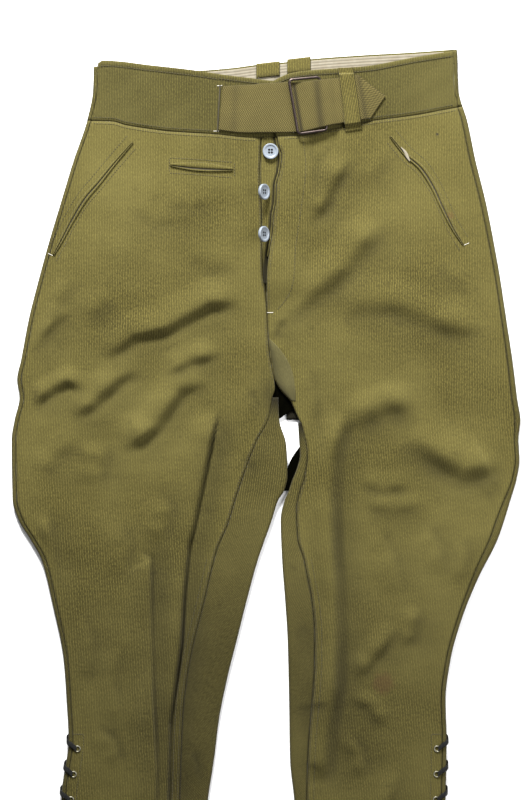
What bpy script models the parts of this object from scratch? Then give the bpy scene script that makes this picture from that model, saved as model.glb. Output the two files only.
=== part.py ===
"""Riding breeches with balloon thighs and laced calves, laid flat on a table.

The garment lies on the XY plane, waist towards +Y, its front up. Depth is measured
down the garment from the top of the waist. Right and left are the wearer's.
"""

import math
from collections import namedtuple

import bmesh
import bpy
import numpy as np

# Driving dimensions, in metres
HEM_DEPTH = 0.988
TOP_DEPTH = -0.002
CENTRE_DEPTH = (HEM_DEPTH + TOP_DEPTH) / 2
WALL = 0.0015
GAP = 0.0003
LAYER_GAP = 0.003
BASE_TOP = 2 * WALL + LAYER_GAP
EDGE_ROUND = 0.004
BAND_HEIGHT = 0.0615
SEAM_ROW = 0.090
SEAM_FADE_END = 0.170
CROTCH_FRONT = 0.3718
CROTCH_BACK = 0.396
WRAP_ROW = 0.410
CENTRE_BACK_X = 0.0225

# Fly, belt and trim
OVERLAP_LIFT = 0.0031
OVERLAP_FULL_X = 0.026
OVERLAP_END_X = 0.052
OVERLAP_END_DEPTH = 0.262
FLY_CLOSE_DEPTH = 0.290
STAND_INNER_X = 0.0275
STAND_END_DEPTH = 0.258
RIGHT_BAND_END_X = 0.0215
FACING_END_DEPTH = 0.2275
FACING_LEAD = 0.0022
FACING_DEPTH = 0.012
FACING_THICK = 0.0010
WEBBING_THICK = 0.0015
TRIM_THICK = 0.0010
TRIM_LIFT = 0.0004
LINING_THICK = 0.0010
BUTTON_RADIUS = 0.0086
BUTTON_THICK = 0.0030
BUTTON_RIM = 0.0016
BUTTON_DISH = 0.0008
BUTTON_HOLE_RADIUS = 0.0010
BUTTON_HOLE_SPREAD = 0.0019
BUTTON_SWELL_RADIUS = 0.028
BUTTON_SWELL = 0.0042
BAR_RADIUS = 0.0018
LACE_WIDTH = 0.0050
LACE_THICK = 0.0010
LACE_PITCH = 0.0280
LACE_FIRST_DEPTH = 0.769
LACE_COUNT = 7
LACE_INSET = 0.0095
LACE_RISE = 0.0130
LACE_LIFT = 0.0008
LACE_EDGE_LIFT = 0.0004

# Grid of the panels: (start depth, end depth, intervals)
ROW_BANDS = (
    (SEAM_ROW, SEAM_FADE_END, 5),
    (SEAM_FADE_END, 0.360, 8),
    (0.360, WRAP_ROW, 4),
    (WRAP_ROW, 0.560, 8),
    (0.560, HEM_DEPTH, 14),
)
FRONT_COLUMNS = 16
ARC_COLUMNS = 4
FLOOR_COLUMNS = 3
INNER_TOP_COLUMNS = 4

# Outline of each leg as it lies: (depth, x)
RIGHT_OUTER = (
    (0.0110, -0.1898), (0.0440, -0.1909), (0.0748, -0.1969), (0.1210, -0.2123),
    (0.1650, -0.2255), (0.2090, -0.2387), (0.2530, -0.2508), (0.2970, -0.2618),
    (0.3410, -0.2701), (0.3630, -0.2745), (0.3817, -0.2717), (0.4070, -0.2772),
    (0.4290, -0.2805), (0.4950, -0.2794), (0.5170, -0.2728), (0.5390, -0.2596),
    (0.5610, -0.2475), (0.6050, -0.2365), (0.6710, -0.2233), (0.7150, -0.2200),
    (0.7590, -0.2178), (0.8239, -0.2255), (0.8800, -0.2233), (0.9880, -0.2134),
)
RIGHT_INNER = (
    (0.3850, 0.0138), (0.4059, 0.0146), (0.4334, 0.0222), (0.4686, 0.0238),
    (0.4840, 0.0205), (0.4961, 0.0132), (0.5170, 0.0066), (0.5610, -0.0088),
    (0.6050, -0.0209), (0.6490, -0.0319), (0.6930, -0.0429), (0.7370, -0.0517),
    (0.7810, -0.0572), (0.8239, -0.0638), (0.8800, -0.0704), (0.9880, -0.0814),
)
RIGHT_FRONT_EDGE = (
    (0.0770, -0.0061), (0.1155, -0.0062), (0.1309, -0.0072), (0.1749, -0.0055),
    (0.2123, -0.0048), (0.2475, -0.0039), (0.2662, -0.0011), (0.2882, 0.0007),
    (0.3190, 0.0022), (0.3366, 0.0039), (0.3597, 0.0083), (0.3718, 0.0099),
    (0.3828, 0.0066), (0.4059, 0.0022), (0.4312, -0.0110), (0.4565, -0.0209),
    (0.4939, -0.0338), (0.5214, -0.0421), (0.5511, -0.0545), (0.6116, -0.0695),
    (0.6534, -0.0801), (0.6853, -0.0864), (0.7271, -0.0916), (0.7700, -0.0937),
    (0.8800, -0.0968), (0.9880, -0.1001),
)
LEFT_OUTER = (
    (-0.0022, 0.2107), (0.0440, 0.2123), (0.0616, 0.2167), (0.0748, 0.2211),
    (0.1210, 0.2310), (0.1650, 0.2420), (0.2090, 0.2508), (0.2530, 0.2585),
    (0.2970, 0.2651), (0.3410, 0.2717), (0.3850, 0.2772), (0.4070, 0.2805),
    (0.4290, 0.2783), (0.4510, 0.2794), (0.4730, 0.2761), (0.4950, 0.2695),
    (0.5170, 0.2629), (0.5390, 0.2552), (0.5830, 0.2332), (0.6270, 0.2156),
    (0.6710, 0.2035), (0.7150, 0.1980), (0.7590, 0.1991), (0.8239, 0.1980),
    (0.8800, 0.1925), (0.9880, 0.1804),
)
LEFT_INNER = (
    (0.3850, 0.0347), (0.4070, 0.0352), (0.4290, 0.0363), (0.4455, 0.0374),
    (0.4620, 0.0335), (0.4730, 0.0290), (0.4862, 0.0245), (0.4950, 0.0205),
    (0.5170, 0.0160), (0.5610, 0.0176), (0.6050, 0.0209), (0.6490, 0.0237),
    (0.7150, 0.0253), (0.7810, 0.0264), (0.8239, 0.0308), (0.8800, 0.0341),
    (0.9880, 0.0440),
)
LEFT_FRONT_EDGE = (
    (0.0770, 0.0110), (0.1023, 0.0132), (0.1155, 0.0173), (0.1306, 0.0160),
    (0.1496, 0.0116), (0.1672, 0.0110), (0.1811, 0.0084), (0.2000, 0.0072),
    (0.2189, 0.0044), (0.2376, 0.0017), (0.2629, 0.0008), (0.2882, 0.0012),
    (0.3190, 0.0027), (0.3366, 0.0044), (0.3597, 0.0088), (0.3718, 0.0143),
    (0.3762, 0.0176), (0.3872, 0.0275), (0.3982, 0.0324), (0.4180, 0.0407),
    (0.4455, 0.0455), (0.4730, 0.0418), (0.4840, 0.0380), (0.5049, 0.0336),
    (0.5390, 0.0352), (0.5599, 0.0416), (0.5830, 0.0462), (0.6050, 0.0504),
    (0.6391, 0.0534), (0.6710, 0.0534), (0.6941, 0.0524), (0.7293, 0.0495),
    (0.7722, 0.0462), (0.8239, 0.0449), (0.8800, 0.0473), (0.9880, 0.0572),
)

# How far each outseam lies in from the edge, on top: (depth, inset)
RIGHT_OUTSEAM_INSET = ((0.0, 0.0048), (0.9880, 0.0048))
LEFT_OUTSEAM_INSET = (
    (0.0110, 0.0050), (0.1430, 0.0064), (0.2750, 0.0055), (0.4070, 0.0066),
    (0.4268, 0.0046), (0.4686, 0.0050), (0.5258, 0.0094), (0.5555, 0.0088),
    (0.5830, 0.0066), (0.6270, 0.0050), (0.9880, 0.0050),
)

# Edges of the waist: (x, depth)
FRONT_TOP_RIGHT = (
    (-0.1892, 0.0176), (-0.1793, 0.0110), (-0.1243, 0.0165), (-0.0770, 0.0220),
    (-0.0451, 0.0270), (-0.0143, 0.0308), (0.0022, 0.0330), (0.0374, 0.0352),
)
FRONT_TOP_LEFT = (
    (0.0008, 0.0383), (0.0139, 0.0308), (0.0264, 0.0256), (0.0473, 0.0220),
    (0.0770, 0.0198), (0.1100, 0.0173), (0.1628, 0.0077), (0.2101, 0.0000),
)
BACK_TOP = (
    (-0.1892, 0.0176), (-0.1276, 0.0198), (-0.0770, 0.0215), (-0.0374, 0.0187),
    (-0.0125, 0.0154), (0.0226, 0.0121), (0.0495, 0.0088), (0.1100, 0.0044),
    (0.1573, 0.0018), (0.2101, -0.0019),
)
FRONT_SEAM = (
    (-0.1958, 0.0770), (-0.1683, 0.0781), (-0.1540, 0.0821), (-0.1027, 0.0891),
    (-0.0572, 0.0919), (-0.0154, 0.0957), (0.0407, 0.0930), (0.0660, 0.0876),
    (0.1100, 0.0784), (0.1573, 0.0721), (0.2145, 0.0619),
)

# A fold is a line of shade with the cloth raised on its upper left side.
Fold = namedtuple("Fold", "path height steep soft")
FOLDS = (
    Fold(((-0.053, 0.395), (-0.065, 0.452), (-0.080, 0.526), (-0.085, 0.542), (-0.091, 0.601),
          (-0.094, 0.653), (-0.106, 0.738), (-0.108, 0.825), (-0.113, 1.080)), 0.0070, 0.012, 0.045),
    Fold(((-0.145, 0.549), (-0.127, 0.561), (-0.127, 0.623), (-0.125, 0.706), (-0.121, 0.791),
          (-0.124, 0.940)), 0.0045, 0.012, 0.030),
    Fold(((-0.240, 0.503), (-0.236, 0.559), (-0.234, 0.597)), 0.0030, 0.010, 0.020),
    Fold(((-0.023, 0.277), (-0.062, 0.282), (-0.110, 0.309), (-0.145, 0.317), (-0.179, 0.342)),
         0.0050, 0.012, 0.035),
    Fold(((-0.135, 0.349), (-0.162, 0.365), (-0.190, 0.391), (-0.215, 0.408)), 0.0040, 0.012, 0.030),
    Fold(((-0.046, 0.334), (-0.083, 0.344), (-0.114, 0.360)), 0.0035, 0.010, 0.025),
    Fold(((-0.194, 0.376), (-0.219, 0.367), (-0.244, 0.381), (-0.259, 0.397)), 0.0040, 0.010, 0.022),
    Fold(((-0.059, 0.365), (-0.093, 0.376), (-0.120, 0.416), (-0.139, 0.431), (-0.162, 0.441)),
         0.0050, 0.012, 0.035),
    Fold(((-0.213, 0.286), (-0.236, 0.305), (-0.263, 0.337)), 0.0035, 0.010, 0.025),
    Fold(((-0.166, 0.273), (-0.198, 0.296)), 0.0025, 0.012, 0.025),
    Fold(((-0.177, 0.431), (-0.187, 0.484)), 0.0030, 0.016, 0.040),
    Fold(((-0.124, 0.487), (-0.107, 0.505), (-0.118, 0.547)), 0.0030, 0.014, 0.030),
    Fold(((0.092, 0.399), (0.083, 0.420), (0.075, 0.452), (0.073, 0.494), (0.075, 0.561),
          (0.078, 0.595), (0.079, 0.655), (0.077, 0.704), (0.069, 0.752), (0.066, 0.792),
          (0.058, 0.812)), 0.0070, 0.014, 0.032),
    Fold(((0.161, 0.433), (0.193, 0.454), (0.218, 0.473), (0.245, 0.464), (0.262, 0.450)),
         0.0050, 0.012, 0.030),
    Fold(((0.235, 0.490), (0.262, 0.475)), 0.0030, 0.010, 0.020),
    Fold(((0.096, 0.113), (0.075, 0.150), (0.063, 0.175), (0.044, 0.194)), 0.0040, 0.012, 0.030),
    Fold(((0.132, 0.189), (0.112, 0.213), (0.088, 0.243), (0.067, 0.261), (0.035, 0.282),
          (0.014, 0.303)), 0.0050, 0.014, 0.035),
    Fold(((0.151, 0.273), (0.130, 0.286)), 0.0030, 0.010, 0.020),
    Fold(((0.100, 0.273), (0.073, 0.286)), 0.0030, 0.010, 0.020),
    Fold(((0.145, 0.633), (0.129, 0.659), (0.099, 0.694)), 0.0040, 0.012, 0.025),
    Fold(((0.170, 0.612), (0.162, 0.645), (0.151, 0.660)), 0.0035, 0.010, 0.022),
    Fold(((0.086, 0.712), (0.111, 0.722), (0.131, 0.749)), 0.0030, 0.010, 0.020),
    Fold(((0.086, 0.747), (0.103, 0.769), (0.111, 0.802)), 0.0030, 0.010, 0.020),
    Fold(((0.119, 0.399), (0.162, 0.395)), 0.0030, 0.014, 0.025),
)

# The balloon of each thigh stands up a little: middle, radii and height.
Puff = namedtuple("Puff", "x depth radius_x radius_depth height")
PUFFS = (
    Puff(-0.145, 0.300, 0.125, 0.230, 0.0050),
    Puff(0.150, 0.320, 0.120, 0.230, 0.0050),
    Puff(-0.150, 0.740, 0.060, 0.260, 0.0030),
    Puff(0.115, 0.740, 0.075, 0.260, 0.0030),
)

# Buttons of the fly: middle, and turn in degrees about the line of the fly
Button = namedtuple("Button", "x depth turn")
BUTTONS = (
    Button(0.0049, 0.1113, 3.0),
    Button(-0.0020, 0.1564, 51.0),
    Button(-0.0022, 0.2028, 53.0),
    Button(0.0105, 0.2464, 0.0),
)
HIDDEN_BUTTON = BUTTONS[3]

# A strap crosses the waist station by station: upper point, lower point, height of its underside
Station = namedtuple("Station", "upper_x upper_depth lower_x lower_depth height")
BELT_STATIONS = (
    Station(-0.0476, 0.0396, -0.0522, 0.0880, 0.0063), Station(-0.0286, 0.0385, -0.0330, 0.0908, 0.0063),
    Station(-0.0154, 0.0380, -0.0176, 0.0913, 0.0067), Station(-0.0055, 0.0371, -0.0044, 0.0913, 0.0094),
    Station(0.0099, 0.0363, 0.0154, 0.0913, 0.0094), Station(0.0220, 0.0355, 0.0286, 0.0911, 0.0094),
    Station(0.0319, 0.0362, 0.0396, 0.0905, 0.0095), Station(0.0440, 0.0352, 0.0506, 0.0880, 0.0112),
    Station(0.0550, 0.0339, 0.0616, 0.0854, 0.0123), Station(0.0660, 0.0325, 0.0726, 0.0829, 0.0119),
    Station(0.0748, 0.0314, 0.0814, 0.0810, 0.0083), Station(0.0836, 0.0301, 0.0891, 0.0795, 0.0083),
    Station(0.0946, 0.0285, 0.1001, 0.0778, 0.0083), Station(0.1012, 0.0275, 0.1089, 0.0763, 0.0076),
    Station(0.1144, 0.0381, 0.1150, 0.0754, 0.0064), Station(0.1254, 0.0462, 0.1243, 0.0611, 0.0063),
    Station(0.1309, 0.0502, 0.1309, 0.0517, 0.0063),
)
KEEPER_STATIONS = (
    Station(0.0545, 0.0365, 0.0600, 0.0830, 0.0064), Station(0.0704, 0.0345, 0.0770, 0.0800, 0.0064),
    Station(0.0950, 0.0320, 0.0995, 0.0755, 0.0064),
)
LOOP_STATIONS = (
    Station(0.0957, 0.0190, 0.0792, 0.0195, 0.0063), Station(0.0965, 0.0245, 0.0799, 0.0250, 0.0063),
    Station(0.0970, 0.0268, 0.0804, 0.0278, 0.0101), Station(0.1012, 0.0534, 0.0836, 0.0550, 0.0101),
    Station(0.1043, 0.0790, 0.0862, 0.0815, 0.0101), Station(0.1050, 0.0825, 0.0866, 0.0850, 0.0063),
    Station(0.1058, 0.0868, 0.0871, 0.0895, 0.0063),
)
LINING_STATIONS_X = (-0.170, 0.196, 16)
LINING_DROP = 0.034
LINING_MARGIN = 0.0022
TAB_CENTRES = ((0.0022, 0.0225), (0.0363, 0.0175))
TAB_HALF_WIDTH = 0.0130
TAB_LENGTH = 0.0160

# Corners of the buckle: x, depth, height of the wire's middle
BUCKLE_CORNERS = (
    (0.0252, 0.0310, 0.0131), (0.0590, 0.0290, 0.0102), (0.0668, 0.0882, 0.0102),
    (0.0351, 0.0942, 0.0131),
)
BUCKLE_CORNER_RADIUS = 0.0045

# Lines of the pocket mouths: (x, depth), upper edge of each welt
RIGHT_POCKET = (
    (-0.1500, 0.0985), (-0.1700, 0.1215), (-0.1885, 0.1440), (-0.2030, 0.1610),
    (-0.2165, 0.1830), (-0.2295, 0.2080), (-0.2375, 0.2230),
)
LEFT_POCKET = (
    (0.1400, 0.0920), (0.1560, 0.1110), (0.1740, 0.1270), (0.1880, 0.1480),
    (0.1990, 0.1720), (0.2090, 0.1930), (0.2205, 0.2120),
)
WATCH_POCKET = (
    (-0.1050, 0.1200), (-0.0820, 0.1215), (-0.0600, 0.1230), (-0.0360, 0.1250),
)
POCKET_WELT_WIDTH = 0.0066
WATCH_WELT_WIDTH = 0.0120

COLLECTION = bpy.data.collections.new("riding_breeches")
CUTTERS = bpy.data.collections.new("cutters")

Leg = namedtuple("Leg", "name side outer inner front_edge inset")
RIGHT = Leg("right", -1, RIGHT_OUTER, RIGHT_INNER, RIGHT_FRONT_EDGE, RIGHT_OUTSEAM_INSET)
LEFT = Leg("left", 1, LEFT_OUTER, LEFT_INNER, LEFT_FRONT_EDGE, LEFT_OUTSEAM_INSET)

OLIVE = (0.135, 0.125, 0.060, 1.0)
CREAM = (0.62, 0.56, 0.42, 1.0)
WEBBING = (0.165, 0.150, 0.075, 1.0)
BUTTON_GREY = (0.45, 0.50, 0.55, 1.0)
DARK_STEEL = (0.055, 0.040, 0.030, 1.0)
BLACK = (0.012, 0.012, 0.012, 1.0)


def smoothstep(value, start=0.0, end=1.0):
    """Ease from 0 at start to 1 at end."""
    t = np.clip((np.asarray(value, float) - start) / (end - start), 0.0, 1.0)
    return t * t * (3 - 2 * t)


def along(table, value):
    """Read a smooth curve through a table's rows without overshoot."""
    keys = np.array([row[0] for row in table])
    readings = np.array([row[1] for row in table])
    steps = np.diff(keys)
    slopes = np.diff(readings) / steps
    tangents = np.zeros(len(keys))
    tangents[0] = slopes[0]
    tangents[-1] = slopes[-1]
    same_way = slopes[1:] * slopes[:-1] > 0
    total = np.where(same_way, slopes[1:] + slopes[:-1], 1.0)
    tangents[1:-1] = np.where(same_way, 2 * slopes[1:] * slopes[:-1] / total, 0.0)
    query = np.clip(np.asarray(value, float), keys[0], keys[-1])
    index = np.clip(np.searchsorted(keys, query, side="right") - 1, 0, len(keys) - 2)
    step = steps[index]
    t = (query - keys[index]) / step
    return (
        (2 * t**3 - 3 * t**2 + 1) * readings[index]
        + (t**3 - 2 * t**2 + t) * step * tangents[index]
        + (3 * t**2 - 2 * t**3) * readings[index + 1]
        + (t**3 - t**2) * step * tangents[index + 1]
    )


def fold_height(x, depth, fold):
    """Height of one fold over the points, by their side of its line and their distance."""
    path = np.array(fold.path)
    chord = path[-1] - path[0]
    lit_side = 1.0 if chord[1] - chord[0] > 0 else -1.0
    lengths = np.hypot(*np.diff(path, axis=0).T)
    total = lengths.sum()
    nearest = np.full(np.shape(x), np.inf)
    signed = np.zeros(np.shape(x))
    travel = np.zeros(np.shape(x))
    walked = 0.0
    for start, end, length in zip(path[:-1], path[1:], lengths):
        along_x, along_d = (end - start) / length
        run = np.clip((x - start[0]) * along_x + (depth - start[1]) * along_d, 0.0, length)
        off_x = x - start[0] - run * along_x
        off_d = depth - start[1] - run * along_d
        distance = np.hypot(off_x, off_d)
        side = np.where(off_d * along_x - off_x * along_d > 0, lit_side, -lit_side)
        closer = distance < nearest
        nearest = np.where(closer, distance, nearest)
        signed = np.where(closer, side * distance, signed)
        travel = np.where(closer, (walked + run) / total, travel)
        walked += length
    taper = smoothstep(travel, 0.0, 0.2) * smoothstep(1 - travel, 0.0, 0.2)
    rise = smoothstep(signed, -fold.steep / 2, fold.steep / 2)
    fall = 1 - smoothstep(signed, fold.steep / 2, fold.soft)
    return fold.height * taper * rise * fall


def overlap_lift(x, depth):
    """How far the left front stands up over the buttons and their stand."""
    across = 1 - smoothstep(x, OVERLAP_FULL_X, OVERLAP_END_X)
    down = 1 - smoothstep(depth, OVERLAP_END_DEPTH, FLY_CLOSE_DEPTH)
    swell = np.hypot(x - HIDDEN_BUTTON.x, depth - HIDDEN_BUTTON.depth) / BUTTON_SWELL_RADIUS
    bump = BUTTON_SWELL * (1 - smoothstep(swell, 0.55, 1.0))
    return OVERLAP_LIFT * across * down + bump


def top_height(leg, x, depth):
    """Height of the cloth's outer face on top of a leg."""
    x = np.asarray(x, float)
    depth = np.asarray(depth, float)
    relief = np.zeros(np.broadcast(x, depth).shape)
    for fold in FOLDS:
        relief = relief + fold_height(x, depth, fold)
    for puff in PUFFS:
        r = np.hypot((x - puff.x) / puff.radius_x, (depth - puff.depth) / puff.radius_depth)
        relief = relief + puff.height * np.clip(1 - r * r, 0.0, 1.0) ** 2
    from_outer = leg.side * (along(leg.outer, depth) - x)
    from_inner = leg.side * (x - along(leg.inner, depth))
    relief = relief * smoothstep(from_outer, EDGE_ROUND, 0.028)
    in_leg = smoothstep(depth, 0.35, 0.39)
    relief = relief * (1 - in_leg + in_leg * smoothstep(from_inner, EDGE_ROUND, 0.026))
    relief = relief * smoothstep(depth, SEAM_ROW, 0.130)
    at_fly = (1 - smoothstep(np.abs(x - 0.010), 0.022, 0.045)) * (1 - smoothstep(depth, 0.27, 0.31))
    relief = relief * (1 - at_fly)
    if leg.side > 0:
        relief = relief + overlap_lift(x, depth)
    return BASE_TOP + relief


def seam_shift(x, on_back):
    """How far the waist seam lies from its nominal row, from the front's line to the back's."""
    front = along(FRONT_SEAM, x) - SEAM_ROW
    back = along(BACK_TOP, x) + BAND_HEIGHT - SEAM_ROW
    return front + (back - front) * on_back


def row_depth(row, x, on_back=0.0):
    """Depth of a row at x: it follows the waist seam at the top and runs level lower down."""
    fade = 1 - smoothstep(row, SEAM_ROW, SEAM_FADE_END)
    return row + GAP * fade + fade * seam_shift(x, on_back)


def edge_x(table, row):
    """Where a row meets an edge that is given by depth."""
    x = along(table, row)
    return float(along(table, row_depth(row, x)))


def outseam_x(leg, row):
    """Where a row meets the outseam."""
    outer = edge_x(leg.outer, row)
    return outer - leg.side * float(along(leg.inset, row))


def rows():
    """Nominal depths of the panels' rows."""
    depths = [SEAM_ROW]
    for start, end, intervals in ROW_BANDS:
        depths.extend(np.linspace(start, end, intervals + 1)[1:])
    return depths


def place(x, depth, z):
    """A point of the laid garment."""
    return (float(x), float(CENTRE_DEPTH - depth), float(z))


def material(name, colour, roughness, metallic=0.0):
    """The piece's own plain finish."""
    made = bpy.data.materials.new(name + "_finish")
    made.use_nodes = True
    shader = made.node_tree.nodes["Principled BSDF"]
    shader.inputs["Base Color"].default_value = colour
    shader.inputs["Roughness"].default_value = roughness
    shader.inputs["Metallic"].default_value = metallic
    made.diffuse_color = colour
    return made


def add_object(name, mesh, colour, roughness=0.85, metallic=0.0):
    """Put a finished mesh in the collection as a piece of its own."""
    piece = bpy.data.objects.new(name, mesh)
    piece.data.materials.clear()
    piece.data.materials.append(material(name, colour, roughness, metallic))
    COLLECTION.objects.link(piece)
    return piece


def wall(name, outer, inner, colour, roughness=0.85):
    """Loft a closed wall between an outer and an inner grid of points."""
    outer = np.asarray(outer, float)
    inner = np.asarray(inner, float)
    count, width = outer.shape[:2]
    made = bmesh.new()
    faces = [[made.verts.new(point) for point in line] for line in outer]
    backs = [[made.verts.new(point) for point in line] for line in inner]
    for r in range(count - 1):
        for c in range(width - 1):
            made.faces.new((faces[r][c], faces[r][c + 1], faces[r + 1][c + 1], faces[r + 1][c]))
            made.faces.new((backs[r][c], backs[r + 1][c], backs[r + 1][c + 1], backs[r][c + 1]))
    ring = [(0, c) for c in range(width)] + [(r, width - 1) for r in range(1, count)]
    ring += [(count - 1, c) for c in range(width - 2, -1, -1)] + [(r, 0) for r in range(count - 2, 0, -1)]
    for (r0, c0), (r1, c1) in zip(ring, ring[1:] + ring[:1]):
        made.faces.new((faces[r0][c0], backs[r0][c0], backs[r1][c1], faces[r1][c1]))
    bmesh.ops.recalc_face_normals(made, faces=made.faces)
    mesh = bpy.data.meshes.new(name)
    made.to_mesh(mesh)
    made.free()
    mesh.shade_smooth()
    return add_object(name, mesh, colour, roughness)


def front_panel(leg):
    """One front, from centre front and inseam to the outseam."""
    outer = []
    inner = []
    for row in rows():
        start = edge_x(leg.front_edge, row)
        end = outseam_x(leg, row)
        xs = np.linspace(start, end, FRONT_COLUMNS + 1)
        depths = row_depth(row, xs)
        heights = top_height(leg, xs, depths)
        outer.append([place(*point) for point in zip(xs, depths, heights)])
        inner.append([place(*point) for point in zip(xs, depths, heights - WALL)])
    return wall("front_" + leg.name, outer, inner, OLIVE)


def edge_arc(edge, side, count, rising):
    """Points round a rounded edge: x, outer height, inner x, inner height, share of the way down."""
    half = BASE_TOP / 2
    middle = edge - side * EDGE_ROUND
    turn = np.linspace(0.5 * math.pi, -0.5 * math.pi, count + 1)
    if rising:
        turn = turn[::-1]
    reach = np.cos(turn)
    lift = np.sin(turn)
    outer = np.stack([middle + side * EDGE_ROUND * reach, half + half * lift])
    inner = np.stack([middle + side * (EDGE_ROUND - WALL) * reach, half + (half - WALL) * lift])
    return outer, inner, (1 - lift) / 2


def back_section(leg, row):
    """A back's section: outseam, round the outer edge, along the floor, and up to the inseam."""
    side = leg.side
    outer_edge = edge_x(leg.outer, row)
    seam = outseam_x(leg, row) + side * GAP
    arc, arc_in, share = edge_arc(outer_edge, side, ARC_COLUMNS, rising=False)
    xs = np.concatenate([[seam], arc[0]])
    zs = np.concatenate([[BASE_TOP], arc[1]])
    xs_in = np.concatenate([[seam], arc_in[0]])
    zs_in = np.concatenate([[BASE_TOP - WALL], arc_in[1]])
    on_back = np.concatenate([[0.0], share])
    rest = FLOOR_COLUMNS + ARC_COLUMNS + INNER_TOP_COLUMNS
    centre = CENTRE_BACK_X + side * GAP / 2
    flat_x = np.linspace(arc[0][-1], centre, rest + 1)[1:]
    wrap = smoothstep(row, CROTCH_BACK, WRAP_ROW)
    tail_x = flat_x
    tail_z = np.zeros(rest)
    tail_in_x = flat_x
    tail_in_z = np.full(rest, WALL)
    if wrap > 0:
        inner_edge = float(along(leg.inner, row))
        turn, turn_in, _ = edge_arc(inner_edge, -side, ARC_COLUMNS, rising=True)
        seam_in = edge_x(leg.front_edge, row) - side * GAP
        floor = np.linspace(arc[0][-1], turn[0][0], FLOOR_COLUMNS + 1)[1:]
        top = np.linspace(turn[0][-1], seam_in, INNER_TOP_COLUMNS + 1)[1:]
        top_z = top_height(leg, top, np.full(INNER_TOP_COLUMNS, row))
        round_x = np.concatenate([floor, turn[0][1:], top])
        round_z = np.concatenate([np.zeros(FLOOR_COLUMNS), turn[1][1:], top_z])
        round_in_x = np.concatenate([floor, turn_in[0][1:], top])
        round_in_z = np.concatenate([np.full(FLOOR_COLUMNS, WALL), turn_in[1][1:], top_z - WALL])
        tail_x = flat_x + (round_x - flat_x) * wrap
        tail_z = round_z * wrap
        tail_in_x = flat_x + (round_in_x - flat_x) * wrap
        tail_in_z = WALL + (round_in_z - WALL) * wrap
    on_back = np.concatenate([on_back, np.ones(rest)])
    outer = (np.concatenate([xs, tail_x]), np.concatenate([zs, tail_z]))
    inner = (np.concatenate([xs_in, tail_in_x]), np.concatenate([zs_in, tail_in_z]))
    return outer, inner, on_back


def back_panel(leg):
    """One back, a wall that lies on the floor and turns up round the leg's edges."""
    outer = []
    inner = []
    for row in rows():
        (xs, zs), (xs_in, zs_in), on_back = back_section(leg, row)
        depths = row_depth(row, xs, on_back)
        outer.append([place(*point) for point in zip(xs, depths, zs)])
        inner.append([place(*point) for point in zip(xs_in, depths, zs_in)])
    return wall("back_" + leg.name, outer, inner, OLIVE)


def band_outseam(leg, depth):
    """Where the waistband's side seam lies at a depth."""
    return float(along(leg.outer, depth)) - leg.side * float(along(leg.inset, depth))


def band_front(leg, top_edge, end_top_x, end_seam_x, columns):
    """One front half of the waistband, from its end at the fly to the side seam."""
    outer = []
    inner = []
    top_side = band_outseam(leg, float(top_edge[0 if leg.side < 0 else -1][1]))
    seam_side = outseam_x(leg, SEAM_ROW)
    for share in np.linspace(0.0, 1.0, 4):
        start = end_top_x + (end_seam_x - end_top_x) * share
        end = top_side + (seam_side - top_side) * share
        xs = np.linspace(start, end, columns + 1)
        top = along(top_edge, xs)
        bottom = row_depth(SEAM_ROW, xs) - 3 * GAP
        depths = top + (bottom - top) * share
        heights = np.full(len(xs), BASE_TOP)
        if leg.side > 0:
            heights = heights + overlap_lift(xs, depths)
        outer.append([place(*point) for point in zip(xs, depths, heights)])
        inner.append([place(*point) for point in zip(xs, depths, heights - WALL)])
    return wall("waistband_front_" + leg.name, outer, inner, OLIVE)


def waistband_back():
    """The waistband's back, which turns up round both sides to the side seams."""
    outer = []
    inner = []
    for share in np.linspace(0.0, 1.0, 5):
        lines = []
        for leg, top_edge in ((RIGHT, FRONT_TOP_RIGHT), (LEFT, FRONT_TOP_LEFT)):
            top_depth = float(top_edge[0 if leg.side < 0 else -1][1])
            seam_depth = float(row_depth(SEAM_ROW, edge_x(leg.outer, SEAM_ROW))) - 2 * GAP
            depth = top_depth + (seam_depth - top_depth) * share
            edge = float(along(leg.outer, depth))
            seam = band_outseam(leg, top_depth)
            seam += (band_outseam(leg, seam_depth) - seam) * share + leg.side * GAP
            arc, arc_in, down = edge_arc(edge, leg.side, ARC_COLUMNS, rising=False)
            lines.append((seam, arc, arc_in, down, depth))
        (seam_r, arc_r, in_r, down_r, depth_r), (seam_l, arc_l, in_l, down_l, depth_l) = lines
        floor = np.linspace(arc_r[0][-1], arc_l[0][-1], 14)[1:-1]
        xs = np.concatenate([[seam_r], arc_r[0], floor, arc_l[0][::-1], [seam_l]])
        zs = np.concatenate([[BASE_TOP], arc_r[1], floor * 0, arc_l[1][::-1], [BASE_TOP]])
        xs_in = np.concatenate([[seam_r], in_r[0], floor, in_l[0][::-1], [seam_l]])
        zs_in = np.concatenate(
            [[BASE_TOP - WALL], in_r[1], floor * 0 + WALL, in_l[1][::-1], [BASE_TOP - WALL]])
        mix = np.concatenate([[0.0], down_r, floor * 0 + 1, down_l[::-1], [0.0]])
        sides = np.where(xs < 0, depth_r, depth_l)
        bottom = row_depth(SEAM_ROW, xs, mix) - 2 * GAP
        top = along(BACK_TOP, xs)
        floor_depths = top + (bottom - top) * share
        depths = sides + (floor_depths - sides) * mix
        if share == 1.0:
            depths = bottom
        outer.append([place(*point) for point in zip(xs, depths, zs)])
        inner.append([place(*point) for point in zip(xs_in, depths, zs_in)])
    return wall("waistband_back", outer, inner, OLIVE)


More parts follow.
